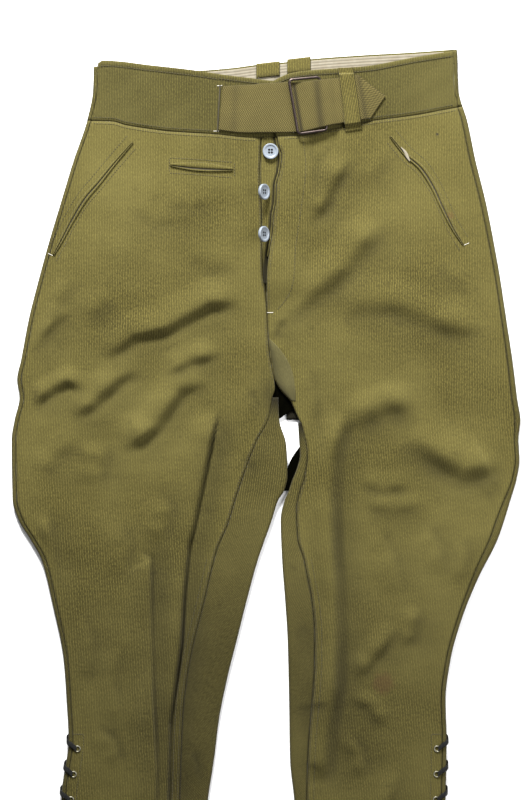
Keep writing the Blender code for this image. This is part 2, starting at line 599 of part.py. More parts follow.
def lining():
    """The cream lining on the inside of the back's waistband."""
    start, end, columns = LINING_STATIONS_X
    low = WALL + GAP
    outer = []
    inner = []
    for share in (0.0, 0.5, 1.0):
        xs = np.linspace(start, end, columns + 1)
        depths = along(BACK_TOP, xs) + LINING_MARGIN + LINING_DROP * share
        outer.append([place(x, d, low + LINING_THICK) for x, d in zip(xs, depths)])
        inner.append([place(x, d, low) for x, d in zip(xs, depths)])
    return wall("waistband_lining", outer, inner, CREAM)


def strap(name, stations, thick, colour, columns=1):
    """A flat strap through its stations."""
    outer = []
    inner = []
    for s in stations:
        shares = np.linspace(0.0, 1.0, columns + 1)
        xs = s.upper_x + (s.lower_x - s.upper_x) * shares
        depths = s.upper_depth + (s.lower_depth - s.upper_depth) * shares
        outer.append([place(x, d, s.height + thick) for x, d in zip(xs, depths)])
        inner.append([place(x, d, s.height) for x, d in zip(xs, depths)])
    return wall(name, outer, inner, colour)


def tab(name, x, depth):
    """A short tab of the cloth sewn on the lining at the centre back."""
    low = WALL + GAP + LINING_THICK + GAP
    ends = (depth - TAB_LENGTH / 2, depth, depth + TAB_LENGTH / 2)
    stations = [Station(x - TAB_HALF_WIDTH, d, x + TAB_HALF_WIDTH, d - 0.003, low) for d in ends]
    return strap(name, stations, TRIM_THICK, OLIVE, columns=2)


def panel_strip(name, leg, path, width, colour, lift=TRIM_LIFT):
    """A strip that follows a line on a front, made from the front's own height."""
    points = np.array(path)
    stations = np.linspace(0, len(points) - 1, 3 * (len(points) - 1) + 1)
    line = np.stack([np.interp(stations, range(len(points)), points[:, k]) for k in (0, 1)], axis=1)
    heading = np.gradient(line, axis=0)
    heading /= np.hypot(heading[:, 0], heading[:, 1])[:, None]
    sideways = np.stack([-heading[:, 1], heading[:, 0]], axis=1)
    if sideways[:, 1].mean() < 0:
        sideways = -sideways
    outer = []
    inner = []
    for point, across in zip(line, sideways):
        spots = [point + across * width * share for share in (0.0, 0.5, 1.0)]
        lows = [float(top_height(leg, s[0], s[1])) + lift for s in spots]
        outer.append([place(s[0], s[1], low + TRIM_THICK) for s, low in zip(spots, lows)])
        inner.append([place(s[0], s[1], low) for s, low in zip(spots, lows)])
    return wall(name, outer, inner, colour)


def fly_stand():
    """The strip that carries the buttons, level with the right front and under the left."""
    outer = []
    inner = []
    for row in [r for r in rows() if r < STAND_END_DEPTH] + [STAND_END_DEPTH]:
        xs = np.linspace(edge_x(RIGHT_FRONT_EDGE, row) + 2 * GAP, STAND_INNER_X, 4)
        depths = row_depth(row, xs)
        outer.append([place(x, d, BASE_TOP) for x, d in zip(xs, depths)])
        inner.append([place(x, d, BASE_TOP - WALL) for x, d in zip(xs, depths)])
    return wall("fly_button_stand", outer, inner, OLIVE)


def fly_facing():
    """The facing under the left front's edge, which shows as a narrow strip."""
    low = BASE_TOP + GAP
    outer = []
    inner = []
    chosen = [r for r in rows() if r < FACING_END_DEPTH] + [FACING_END_DEPTH]
    for row in chosen:
        lead = edge_x(LEFT_FRONT_EDGE, row) - FACING_LEAD
        xs = np.linspace(lead, lead + FACING_DEPTH, 3)
        depths = row_depth(row, xs) + 0.0006 * (row == SEAM_ROW)
        outer.append([place(x, d, low + FACING_THICK) for x, d in zip(xs, depths)])
        inner.append([place(x, d, low) for x, d in zip(xs, depths)])
    return wall("fly_facing", outer, inner, OLIVE)


def button(index, spot):
    """A dished four-hole button, turned about the line of the fly as it lies."""
    r = BUTTON_RADIUS
    half = BUTTON_THICK / 2
    profile = (
        (0.0, half - BUTTON_DISH), (r - 2 * BUTTON_RIM, half - BUTTON_DISH), (r - BUTTON_RIM, half),
        (r - 0.3 * BUTTON_RIM, half), (r, 0.3 * half), (r - 0.5 * BUTTON_RIM, -0.7 * half),
        (r - 2 * BUTTON_RIM, -half), (0.0, -half),
    )
    made = bmesh.new()
    verts = [made.verts.new((x, 0.0, z)) for x, z in profile]
    for first, second in zip(verts, verts[1:]):
        made.edges.new((first, second))
    mesh = bpy.data.meshes.new("button_profile")
    made.to_mesh(mesh)
    made.free()
    name = f"button_{index + 1}"
    piece = add_object(name, mesh, BUTTON_GREY, 0.4)
    screw = piece.modifiers.new("turned", "SCREW")
    screw.steps = 20
    screw.render_steps = 20
    screw.use_merge_vertices = True
    screw.merge_threshold = 0.00001
    holes = bmesh.new()
    for k in range(4):
        angle = math.pi / 4 + k * math.pi / 2
        spun = bmesh.ops.create_cone(
            holes, cap_ends=True, segments=8, radius1=BUTTON_HOLE_RADIUS,
            radius2=BUTTON_HOLE_RADIUS, depth=2 * BUTTON_THICK)
        offset = (BUTTON_HOLE_SPREAD * math.cos(angle), BUTTON_HOLE_SPREAD * math.sin(angle), 0.0)
        bmesh.ops.translate(holes, verts=spun["verts"], vec=offset)
    cutter_mesh = bpy.data.meshes.new(name + "_holes")
    holes.to_mesh(cutter_mesh)
    holes.free()
    cutter = bpy.data.objects.new(name + "_holes", cutter_mesh)
    cutter.hide_render = True
    cutter.display_type = "WIRE"
    CUTTERS.objects.link(cutter)
    cut = piece.modifiers.new("holes", "BOOLEAN")
    cut.object = cutter
    tilt = math.radians(spot.turn)
    drop = max(x * math.sin(tilt) - z * math.cos(tilt) for x, z in profile)
    seat = BASE_TOP + GAP + drop
    for thing in (piece, cutter):
        thing.location = place(spot.x, spot.depth, seat)
        thing.rotation_euler = (0.0, tilt, 0.0)
    return piece


def buckle():
    """A plain wire buckle, round bars with rounded corners."""
    corners = [np.array(place(*corner)) for corner in BUCKLE_CORNERS]
    points = []
    for before, corner, after in zip(corners[-1:] + corners[:-1], corners, corners[1:] + corners[:1]):
        start = corner + (before - corner) / np.linalg.norm(before - corner) * BUCKLE_CORNER_RADIUS
        end = corner + (after - corner) / np.linalg.norm(after - corner) * BUCKLE_CORNER_RADIUS
        for t in (0.0, 0.33, 0.67, 1.0):
            points.append((1 - t) ** 2 * start + 2 * t * (1 - t) * corner + t * t * end)
    curve = bpy.data.curves.new("buckle_wire", "CURVE")
    curve.dimensions = "3D"
    curve.bevel_depth = BAR_RADIUS
    curve.bevel_resolution = 2
    spline = curve.splines.new("POLY")
    spline.points.add(len(points) - 1)
    for target, point in zip(spline.points, points):
        target.co = (*point, 1.0)
    spline.use_cyclic_u = True
    piece = bpy.data.objects.new("buckle", curve)
    curve.materials.append(material("buckle", DARK_STEEL, 0.35, 0.9))
    COLLECTION.objects.link(piece)
    return piece


def lace(leg, index):
    """One stretch of the flat lace, from its eyelet over the leg's outer edge."""
    depth = LACE_FIRST_DEPTH + index * LACE_PITCH
    side = leg.side
    outer = []
    inner = []
    stages = [("top", 0.0), ("top", 0.5), ("top", 1.0)] + [("arc", t) for t in (0.2, 0.4, 0.6, 0.8)]
    for count, (kind, share) in enumerate(stages):
        middle = depth - LACE_RISE * count / (len(stages) - 1)
        line_outer = []
        line_inner = []
        for half in (-0.5, 0.5):
            d = middle + half * LACE_WIDTH
            edge = float(along(leg.outer, d))
            if kind == "top":
                x = edge - side * (LACE_INSET + (EDGE_ROUND - LACE_INSET) * share)
                low = float(top_height(leg, x, d)) + LACE_LIFT
                line_inner.append(place(x, d, low))
                line_outer.append(place(x, d, low + LACE_THICK))
                continue
            angle = math.pi * (0.5 - share)
            centre = edge - side * EDGE_ROUND
            clear = LACE_LIFT + LACE_EDGE_LIFT
            for line, extra in ((line_inner, clear), (line_outer, clear + LACE_THICK)):
                reach = (EDGE_ROUND + extra) * math.cos(angle)
                lift = (BASE_TOP / 2 + extra) * math.sin(angle)
                line.append(place(centre + side * reach, d, BASE_TOP / 2 + lift))
        outer.append(line_outer)
        inner.append(line_inner)
    return wall(f"lace_{leg.name}_{index + 1}", outer, inner, BLACK, 0.6)


def build():
    """Build every piece of the breeches."""
    bpy.context.scene.collection.children.link(COLLECTION)
    bpy.context.scene.collection.children.link(CUTTERS)
    for leg in (RIGHT, LEFT):
        front_panel(leg)
        back_panel(leg)
        for index in range(LACE_COUNT):
            lace(leg, index)
    band_front(RIGHT, FRONT_TOP_RIGHT, RIGHT_BAND_END_X, RIGHT_BAND_END_X, 22)
    band_front(LEFT, FRONT_TOP_LEFT, 0.0011, 0.0110, 22)
    waistband_back()
    lining()
    for index, (x, depth) in enumerate(TAB_CENTRES):
        tab(f"back_tab_{index + 1}", x, depth)
    fly_stand()
    fly_facing()
    for index, spot in enumerate(BUTTONS):
        button(index, spot)
    strap("belt_strap", BELT_STATIONS, WEBBING_THICK, WEBBING, columns=2)
    strap("belt_buckle_strap", KEEPER_STATIONS, WEBBING_THICK, WEBBING)
    strap("belt_loop", LOOP_STATIONS, TRIM_THICK, OLIVE)
    buckle()
    panel_strip("slant_pocket_welt_right", RIGHT, RIGHT_POCKET, POCKET_WELT_WIDTH, OLIVE)
    panel_strip("slant_pocket_welt_left", LEFT, LEFT_POCKET, POCKET_WELT_WIDTH, OLIVE)
    panel_strip("watch_pocket_welt", RIGHT, WATCH_POCKET, WATCH_WELT_WIDTH, OLIVE)


for leftover in list(bpy.data.objects):
    bpy.data.objects.remove(leftover)
build()
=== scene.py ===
"""Looks of the riding breeches: cord cloth, web belt, buttons, laces, stitching, floor and light.

Depth is measured down the garment from the top of the waist, x across it, and right and left
are the wearer's. All sizes are in metres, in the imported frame.
"""

from __future__ import annotations

import logging
import math
from collections.abc import Callable, Sequence
from dataclasses import dataclass, field
from enum import Enum

import bmesh
import bpy
import numpy as np
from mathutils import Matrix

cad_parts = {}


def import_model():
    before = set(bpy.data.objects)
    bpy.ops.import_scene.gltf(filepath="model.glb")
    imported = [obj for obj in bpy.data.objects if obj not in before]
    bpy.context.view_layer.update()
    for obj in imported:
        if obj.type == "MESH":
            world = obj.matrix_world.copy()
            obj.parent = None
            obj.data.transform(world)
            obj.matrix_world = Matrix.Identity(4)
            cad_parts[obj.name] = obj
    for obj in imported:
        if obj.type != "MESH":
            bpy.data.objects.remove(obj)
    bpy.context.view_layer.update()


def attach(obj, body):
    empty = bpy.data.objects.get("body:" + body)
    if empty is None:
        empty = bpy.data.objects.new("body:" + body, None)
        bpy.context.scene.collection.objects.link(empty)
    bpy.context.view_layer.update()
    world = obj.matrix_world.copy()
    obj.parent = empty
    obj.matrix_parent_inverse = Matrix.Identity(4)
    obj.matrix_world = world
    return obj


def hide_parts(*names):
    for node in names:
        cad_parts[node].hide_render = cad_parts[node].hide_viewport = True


LOG = logging.getLogger("breeches")

Table = Sequence[tuple[float, float]]
Colour = tuple[float, float, float, float]
Grid = np.ndarray

# Driving dimensions, shared with the solids
HEM_DEPTH = 0.988
TOP_DEPTH = -0.002
CENTRE_DEPTH = (HEM_DEPTH + TOP_DEPTH) / 2
WALL = 0.0015
CLOTH = 0.0012
GAP = 0.0003
BASE_TOP = 0.006
EDGE_ROUND = 0.004
BAND_HEIGHT = 0.0615
SEAM_ROW = 0.090
SEAM_FADE_END = 0.170
CENTRE_BACK_X = 0.0225
MM = 0.001
NARROWEST_SHEET = 0.010

# The outline of each leg as it lies: (depth, x)
RIGHT_OUTER: Table = (
    (0.0110, -0.1898), (0.0440, -0.1909), (0.0748, -0.1969), (0.1210, -0.2123),
    (0.1650, -0.2255), (0.2090, -0.2387), (0.2530, -0.2508), (0.2970, -0.2618),
    (0.3410, -0.2701), (0.3630, -0.2745), (0.3817, -0.2717), (0.4070, -0.2772),
    (0.4290, -0.2805), (0.4950, -0.2794), (0.5170, -0.2728), (0.5390, -0.2596),
    (0.5610, -0.2475), (0.6050, -0.2365), (0.6710, -0.2233), (0.7150, -0.2200),
    (0.7590, -0.2178), (0.8239, -0.2255), (0.8800, -0.2233), (0.9880, -0.2134),
)
RIGHT_INNER: Table = (
    (0.3850, 0.0138), (0.4059, 0.0146), (0.4334, 0.0222), (0.4686, 0.0238),
    (0.4840, 0.0205), (0.4961, 0.0132), (0.5170, 0.0066), (0.5610, -0.0088),
    (0.6050, -0.0209), (0.6490, -0.0319), (0.6930, -0.0429), (0.7370, -0.0517),
    (0.7810, -0.0572), (0.8239, -0.0638), (0.8800, -0.0704), (0.9880, -0.0814),
)
RIGHT_FRONT_EDGE: Table = (
    (0.0770, -0.0061), (0.1155, -0.0062), (0.1309, -0.0072), (0.1749, -0.0055),
    (0.2123, -0.0048), (0.2475, -0.0039), (0.2662, -0.0011), (0.2882, 0.0007),
    (0.3190, 0.0022), (0.3366, 0.0039), (0.3597, 0.0083), (0.3718, 0.0099),
    (0.3828, 0.0066), (0.4059, 0.0022), (0.4312, -0.0110), (0.4565, -0.0209),
    (0.4939, -0.0338), (0.5214, -0.0421), (0.5511, -0.0545), (0.6116, -0.0695),
    (0.6534, -0.0801), (0.6853, -0.0864), (0.7271, -0.0916), (0.7700, -0.0937),
    (0.8800, -0.0968), (0.9880, -0.1001),
)
LEFT_OUTER: Table = (
    (-0.0022, 0.2107), (0.0440, 0.2123), (0.0616, 0.2167), (0.0748, 0.2211),
    (0.1210, 0.2310), (0.1650, 0.2420), (0.2090, 0.2508), (0.2530, 0.2585),
    (0.2970, 0.2651), (0.3410, 0.2717), (0.3850, 0.2772), (0.4070, 0.2805),
    (0.4290, 0.2783), (0.4510, 0.2794), (0.4730, 0.2761), (0.4950, 0.2695),
    (0.5170, 0.2629), (0.5390, 0.2552), (0.5830, 0.2332), (0.6270, 0.2156),
    (0.6710, 0.2035), (0.7150, 0.1980), (0.7590, 0.1991), (0.8239, 0.1980),
    (0.8800, 0.1925), (0.9880, 0.1804),
)
LEFT_INNER: Table = (
    (0.3850, 0.0347), (0.4070, 0.0352), (0.4290, 0.0363), (0.4455, 0.0374),
    (0.4620, 0.0335), (0.4730, 0.0290), (0.4862, 0.0245), (0.4950, 0.0205),
    (0.5170, 0.0160), (0.5610, 0.0176), (0.6050, 0.0209), (0.6490, 0.0237),
    (0.7150, 0.0253), (0.7810, 0.0264), (0.8239, 0.0308), (0.8800, 0.0341),
    (0.9880, 0.0440),
)
LEFT_FRONT_EDGE: Table = (
    (0.0770, 0.0110), (0.1023, 0.0132), (0.1155, 0.0173), (0.1306, 0.0160),
    (0.1496, 0.0116), (0.1672, 0.0110), (0.1811, 0.0084), (0.2000, 0.0072),
    (0.2189, 0.0044), (0.2376, 0.0017), (0.2629, 0.0008), (0.2882, 0.0012),
    (0.3190, 0.0027), (0.3366, 0.0044), (0.3597, 0.0088), (0.3718, 0.0143),
    (0.3762, 0.0176), (0.3872, 0.0275), (0.3982, 0.0324), (0.4180, 0.0407),
    (0.4455, 0.0455), (0.4730, 0.0418), (0.4840, 0.0380), (0.5049, 0.0336),
    (0.5390, 0.0352), (0.5599, 0.0416), (0.5830, 0.0462), (0.6050, 0.0504),
    (0.6391, 0.0534), (0.6710, 0.0534), (0.6941, 0.0524), (0.7293, 0.0495),
    (0.7722, 0.0462), (0.8239, 0.0449), (0.8800, 0.0473), (0.9880, 0.0572),
)
RIGHT_OUTSEAM_INSET: Table = ((0.0, 0.0048), (0.9880, 0.0048))
LEFT_OUTSEAM_INSET: Table = (
    (0.0110, 0.0050), (0.1430, 0.0064), (0.2750, 0.0055), (0.4070, 0.0066),
    (0.4268, 0.0046), (0.4686, 0.0050), (0.5258, 0.0094), (0.5555, 0.0088),
    (0.5830, 0.0066), (0.6270, 0.0050), (0.9880, 0.0050),
)

# The edges of the waist: (x, depth)
FRONT_TOP_RIGHT: Table = (
    (-0.1892, 0.0176), (-0.1793, 0.0110), (-0.1243, 0.0165), (-0.0770, 0.0220),
    (-0.0451, 0.0270), (-0.0143, 0.0308), (0.0022, 0.0330), (0.0374, 0.0352),
)
FRONT_TOP_LEFT: Table = (
    (0.0008, 0.0383), (0.0139, 0.0308), (0.0264, 0.0256), (0.0473, 0.0220),
    (0.0770, 0.0198), (0.1100, 0.0173), (0.1628, 0.0077), (0.2101, 0.0000),
)
BACK_TOP: Table = (
    (-0.1892, 0.0176), (-0.1276, 0.0198), (-0.0770, 0.0215), (-0.0374, 0.0187),
    (-0.0125, 0.0154), (0.0226, 0.0121), (0.0495, 0.0088), (0.1100, 0.0044),
    (0.1573, 0.0018), (0.2101, -0.0019),
)
FRONT_SEAM: Table = (
    (-0.1958, 0.0770), (-0.1683, 0.0781), (-0.1540, 0.0821), (-0.1027, 0.0891),
    (-0.0572, 0.0919), (-0.0154, 0.0957), (0.0407, 0.0930), (0.0660, 0.0876),
    (0.1100, 0.0784), (0.1573, 0.0721), (0.2145, 0.0619),
)


@dataclass(frozen=True)
class Fold:
    """A line of shade with the cloth raised on its upper left side, and a trough along it."""

    path: Table
    height: float
    steep: float
    soft: float
    trough: float = 0.0
    # dark and dark_width: the painted shade along the fold's line
    dark: float = 0.30
    dark_width: float = 0.008


FOLDS: tuple[Fold, ...] = (
    Fold(((-0.053, 0.395), (-0.065, 0.452), (-0.080, 0.526), (-0.085, 0.542), (-0.091, 0.601),
          (-0.094, 0.653), (-0.106, 0.738), (-0.108, 0.825), (-0.113, 1.080)),
         0.0070, 0.0045, 0.045, 0.0022, 0.95, 0.0022),
    Fold(((-0.145, 0.549), (-0.127, 0.561), (-0.127, 0.623), (-0.125, 0.706), (-0.121, 0.791),
          (-0.124, 0.940)), 0.0045, 0.0050, 0.030, 0.0018, 0.75, 0.0020),
    Fold(((-0.240, 0.503), (-0.236, 0.559), (-0.234, 0.597)), 0.0030, 0.010, 0.020),
    Fold(((-0.023, 0.277), (-0.062, 0.282), (-0.110, 0.309), (-0.145, 0.317), (-0.179, 0.342)),
         0.0050, 0.012, 0.035, 0.0010, 0.35),
    Fold(((-0.135, 0.349), (-0.162, 0.365), (-0.190, 0.391), (-0.215, 0.408)),
         0.0040, 0.012, 0.030, 0.0010, 0.3),
    Fold(((-0.046, 0.334), (-0.083, 0.344), (-0.114, 0.360)), 0.0035, 0.010, 0.025, 0.0006, 0.3),
    Fold(((-0.194, 0.376), (-0.219, 0.367), (-0.244, 0.381), (-0.259, 0.397)),
         0.0040, 0.010, 0.022, 0.0008, 0.35),
    Fold(((-0.059, 0.365), (-0.093, 0.376), (-0.120, 0.416), (-0.139, 0.431), (-0.162, 0.441)),
         0.0050, 0.012, 0.035, 0.0008, 0.35),
    Fold(((-0.213, 0.286), (-0.236, 0.305), (-0.263, 0.337)), 0.0035, 0.010, 0.025),
    Fold(((-0.166, 0.273), (-0.198, 0.296)), 0.0025, 0.012, 0.025),
    Fold(((-0.177, 0.431), (-0.187, 0.484)), 0.0030, 0.016, 0.040),
    Fold(((-0.124, 0.487), (-0.107, 0.505), (-0.118, 0.547)), 0.0030, 0.014, 0.030),
    Fold(((0.092, 0.399), (0.083, 0.420), (0.075, 0.452), (0.073, 0.494), (0.075, 0.561),
          (0.078, 0.595), (0.079, 0.655), (0.077, 0.704), (0.069, 0.752), (0.066, 0.792),
          (0.058, 0.812)), 0.0070, 0.014, 0.032, 0.0012, 0.60, 0.0085),
    Fold(((0.152, 0.424), (0.172, 0.440), (0.196, 0.456), (0.218, 0.468), (0.245, 0.462), (0.264, 0.448)),
         0.0055, 0.020, 0.050, 0.0006, 0.45, 0.013),
    Fold(((0.235, 0.490), (0.262, 0.475)), 0.0030, 0.010, 0.020),
    Fold(((0.096, 0.113), (0.075, 0.150), (0.063, 0.175), (0.044, 0.194)),
         0.0040, 0.012, 0.030, 0.0008, 0.4),
    Fold(((0.132, 0.189), (0.112, 0.213), (0.088, 0.243), (0.067, 0.261), (0.035, 0.282),
          (0.014, 0.303)), 0.0050, 0.018, 0.040, 0.0004, 0.34, 0.010),
    Fold(((0.078, 0.292), (0.104, 0.283), (0.140, 0.284), (0.184, 0.300), (0.232, 0.316)),
         0.0032, 0.018, 0.040, 0.0003, 0.32, 0.011),
    Fold(((0.145, 0.633), (0.129, 0.659), (0.099, 0.694)), 0.0040, 0.012, 0.025, 0.0006, 0.3),
    Fold(((0.170, 0.612), (0.162, 0.645), (0.151, 0.660)), 0.0035, 0.010, 0.022),
    Fold(((0.086, 0.712), (0.111, 0.722), (0.131, 0.749)), 0.0030, 0.010, 0.020),
    Fold(((0.086, 0.747), (0.103, 0.769), (0.111, 0.802)), 0.0030, 0.010, 0.020),
    Fold(((0.090, 0.425), (0.112, 0.404), (0.138, 0.394), (0.168, 0.395)),
         0.0036, 0.018, 0.035, 0.0003, 0.42, 0.014),
)

# Small creases that only the cloth's surface has
CREASES: tuple[Fold, ...] = (
    Fold(((-0.066, 0.092), (-0.062, 0.104), (-0.056, 0.122)), 0.0012, 0.004, 0.010, 0.0006, 0.35, 0.003),
    Fold(((-0.050, 0.094), (-0.046, 0.108), (-0.043, 0.124)), 0.0012, 0.004, 0.010, 0.0006, 0.35, 0.003),
    Fold(((-0.036, 0.095), (-0.031, 0.106), (-0.024, 0.118)), 0.0014, 0.004, 0.010, 0.0006, 0.40, 0.003),
    Fold(((-0.020, 0.140), (-0.017, 0.165), (-0.013, 0.190)), 0.0012, 0.005, 0.012, 0.0004, 0.25, 0.004),
    Fold(((0.051, 0.094), (0.048, 0.112), (0.050, 0.128)), 0.0016, 0.004, 0.012, 0.0006, 0.35, 0.004),
    Fold(((0.072, 0.090), (0.068, 0.104), (0.060, 0.122)), 0.0014, 0.005, 0.012, 0.0005, 0.30, 0.004),
    Fold(((0.034, 0.190), (0.028, 0.198), (0.022, 0.212)), 0.0012, 0.004, 0.008, 0.0005, 0.40, 0.003),
    Fold(((0.033, 0.212), (0.028, 0.217), (0.018, 0.224)), 0.0012, 0.004, 0.008, 0.0005, 0.40, 0.003),
    Fold(((0.034, 0.150), (0.030, 0.160), (0.028, 0.176)), 0.0010, 0.004, 0.008, 0.0004, 0.30, 0.003),
    Fold(((-0.084, 0.770), (-0.078, 0.786), (-0.071, 0.812)), 0.0018, 0.006, 0.014, 0.0008, 0.5),
    Fold(((0.026, 0.725), (0.050, 0.722), (0.074, 0.716)), 0.0012, 0.005, 0.012, 0.0005, 0.35),
    Fold(((0.026, 0.645), (0.036, 0.640), (0.046, 0.631)), 0.0012, 0.005, 0.012, 0.0005, 0.3),
    Fold(((0.026, 0.293), (0.014, 0.303), (0.007, 0.321)), 0.0014, 0.006, 0.014, 0.0006, 0.4),
    Fold(((-0.022, 0.372), (-0.014, 0.388), (-0.007, 0.404)), 0.0016, 0.007, 0.016, 0.0006, 0.4),
    Fold(((-0.060, 0.412), (-0.050, 0.424), (-0.040, 0.446)), 0.0014, 0.007, 0.016, 0.0004, 0.3),
    Fold(((-0.030, 0.446), (-0.020, 0.462), (-0.010, 0.470)), 0.0014, 0.007, 0.015, 0.0005, 0.35),
    Fold(((-0.028, 0.108), (-0.020, 0.121), (-0.012, 0.150)), 0.0012, 0.006, 0.014, 0.0004, 0.3),
    Fold(((-0.115, 0.165), (-0.085, 0.172), (-0.055, 0.168)), 0.0012, 0.010, 0.026, 0.0, 0.2),
    Fold(((-0.150, 0.170), (-0.120, 0.190), (-0.070, 0.186)), 0.0012, 0.012, 0.030, 0.0, 0.2),
    Fold(((-0.090, 0.225), (-0.060, 0.240), (-0.030, 0.236)), 0.0012, 0.012, 0.026, 0.0, 0.15),
    Fold(((0.058, 0.102), (0.052, 0.135), (0.050, 0.165)), 0.0012, 0.007, 0.016, 0.0004, 0.3),
    Fold(((0.140, 0.105), (0.128, 0.125), (0.110, 0.148)), 0.0012, 0.010, 0.022, 0.0, 0.2),
    Fold(((0.190, 0.235), (0.204, 0.250), (0.222, 0.262)), 0.0012, 0.010, 0.022, 0.0, 0.2),
    Fold(((0.170, 0.300), (0.205, 0.312), (0.245, 0.306)), 0.0014, 0.012, 0.028, 0.0, 0.2),
    Fold(((-0.205, 0.250), (-0.222, 0.268), (-0.240, 0.300)), 0.0014, 0.010, 0.022, 0.0, 0.2),
    Fold(((-0.200, 0.432), (-0.222, 0.440), (-0.250, 0.470)), 0.0016, 0.012, 0.026, 0.0, 0.25),
    Fold(((-0.165, 0.520), (-0.150, 0.545), (-0.160, 0.585)), 0.0016, 0.012, 0.028, 0.0, 0.25),
    Fold(((-0.205, 0.620), (-0.192, 0.650), (-0.196, 0.700)), 0.0014, 0.010, 0.024, 0.0, 0.2),
    Fold(((-0.160, 0.655), (-0.168, 0.700), (-0.160, 0.740)), 0.0014, 0.010, 0.024, 0.0, 0.2),
    Fold(((-0.190, 0.745), (-0.168, 0.762), (-0.160, 0.790)), 0.0020, 0.010, 0.026, 0.0005, 0.35),
    Fold(((0.120, 0.520), (0.140, 0.560), (0.150, 0.600)), 0.0014, 0.012, 0.030, 0.0, 0.2),
    Fold(((0.175, 0.520), (0.190, 0.545), (0.196, 0.580)), 0.0016, 0.010, 0.024, 0.0, 0.25),
    Fold(((0.215, 0.535), (0.222, 0.560), (0.215, 0.590)), 0.0014, 0.010, 0.020, 0.0, 0.25),
    Fold(((0.150, 0.790), (0.135, 0.830), (0.140, 0.880)), 0.0016, 0.010, 0.024, 0.0, 0.2),
    Fold(((-0.200, 0.830), (-0.185, 0.870), (-0.190, 0.930)), 0.0016, 0.010, 0.024, 0.0, 0.2),
    Fold(((0.096, 0.474), (0.128, 0.484), (0.166, 0.480)), 0.0020, 0.010, 0.024, 0.0003, 0.3, 0.006),
    Fold(((0.100, 0.500), (0.140, 0.508), (0.180, 0.500)), 0.0016, 0.010, 0.024, 0.0, 0.25, 0.008),
    Fold(((0.045, 0.345), (0.052, 0.385), (0.050, 0.430)), 0.0014, 0.010, 0.020, 0.0, 0.25),
)


@dataclass(frozen=True)
class Puff:
    """A broad swell where the balloon of a thigh or the calf stands up."""

    x: float
    depth: float
    radius_x: float
    radius_depth: float
    height: float


PUFFS: tuple[Puff, ...] = (
    Puff(-0.145, 0.300, 0.125, 0.230, 0.0050),
    Puff(0.150, 0.320, 0.120, 0.230, 0.0050),
    Puff(-0.150, 0.740, 0.060, 0.260, 0.0030),
    Puff(0.115, 0.740, 0.075, 0.260, 0.0030),
)


@dataclass(frozen=True)
class ButtonSpot:
    """Where a fly button lies, and its turn in degrees about the line of the fly."""

    x: float
    depth: float
    turn: float


BUTTON_SPOTS: tuple[ButtonSpot, ...] = (
    ButtonSpot(0.0049, 0.1113, 3.0),
    ButtonSpot(-0.0020, 0.1564, 51.0),
    ButtonSpot(-0.0022, 0.2028, 53.0),
    ButtonSpot(0.0105, 0.2464, 0.0),
)


def smoothstep(value: Grid | float, start: float = 0.0, end: float = 1.0) -> Grid:
    """Ease from 0 at start to 1 at end.

    Args:
        value: The numbers to ease.
        start: Where the ease begins.
        end: Where it ends.

    Returns:
        The eased numbers.
    """
    t = np.clip((np.asarray(value, float) - start) / (end - start), 0.0, 1.0)
    return t * t * (3 - 2 * t)


def along(table: Table, value: Grid | float) -> Grid:
    """Read a smooth curve through a table's rows, without overshoot.

    Args:
        table: Rows of key and reading, with rising keys.
        value: Where to read it.

    Returns:
        The readings.
    """
    keys = np.array([row[0] for row in table])
    readings = np.array([row[1] for row in table])
    slopes = np.diff(readings) / np.diff(keys)
    tangents = np.zeros(len(keys))
    tangents[0] = slopes[0]
    tangents[-1] = slopes[-1]
    same_way = slopes[1:] * slopes[:-1] > 0
    total = np.where(same_way, slopes[1:] + slopes[:-1], 1.0)
    tangents[1:-1] = np.where(same_way, 2 * slopes[1:] * slopes[:-1] / total, 0.0)
    query = np.clip(np.asarray(value, float), keys[0], keys[-1])
    index = np.clip(np.searchsorted(keys, query, side="right") - 1, 0, len(keys) - 2)
    step = np.diff(keys)[index]
    t = (query - keys[index]) / step
    return (
        (2 * t**3 - 3 * t**2 + 1) * readings[index]
        + (t**3 - 2 * t**2 + t) * step * tangents[index]
        + (3 * t**2 - 2 * t**3) * readings[index + 1]
        + (t**3 - t**2) * step * tangents[index + 1]
    )


def nearest_on(path: Table, x: Grid, depth: Grid) -> tuple[Grid, Grid, float]:
    """Measure points against a line of the cloth.

    Args:
        path: The line's points, x and depth.
        x: The points' x.
        depth: The points' depth.

    Returns:
        Signed distance, positive on the line's upper left side, travel along it from 0 to 1,
        and its whole length.
    """
    points = np.array(path)
    chord = points[-1] - points[0]
    lit_side = 1.0 if chord[1] - chord[0] > 0 else -1.0
    lengths = np.hypot(*np.diff(points, axis=0).T)
    nearest = np.full(np.shape(x), np.inf)
    signed = np.zeros(np.shape(x))
    travel = np.zeros(np.shape(x))
    walked = 0.0
    for start, end, length in zip(points[:-1], points[1:], lengths):
        along_x, along_d = (end - start) / length
        run = np.clip((x - start[0]) * along_x + (depth - start[1]) * along_d, 0.0, length)
        off_x = x - start[0] - run * along_x
        off_d = depth - start[1] - run * along_d
        distance = np.hypot(off_x, off_d)
        side = np.where(off_d * along_x - off_x * along_d > 0, lit_side, -lit_side)
        closer = distance < nearest
        nearest = np.where(closer, distance, nearest)
        signed = np.where(closer, side * distance, signed)
        travel = np.where(closer, (walked + run) / lengths.sum(), travel)
        walked += length
    return signed, travel, float(lengths.sum())


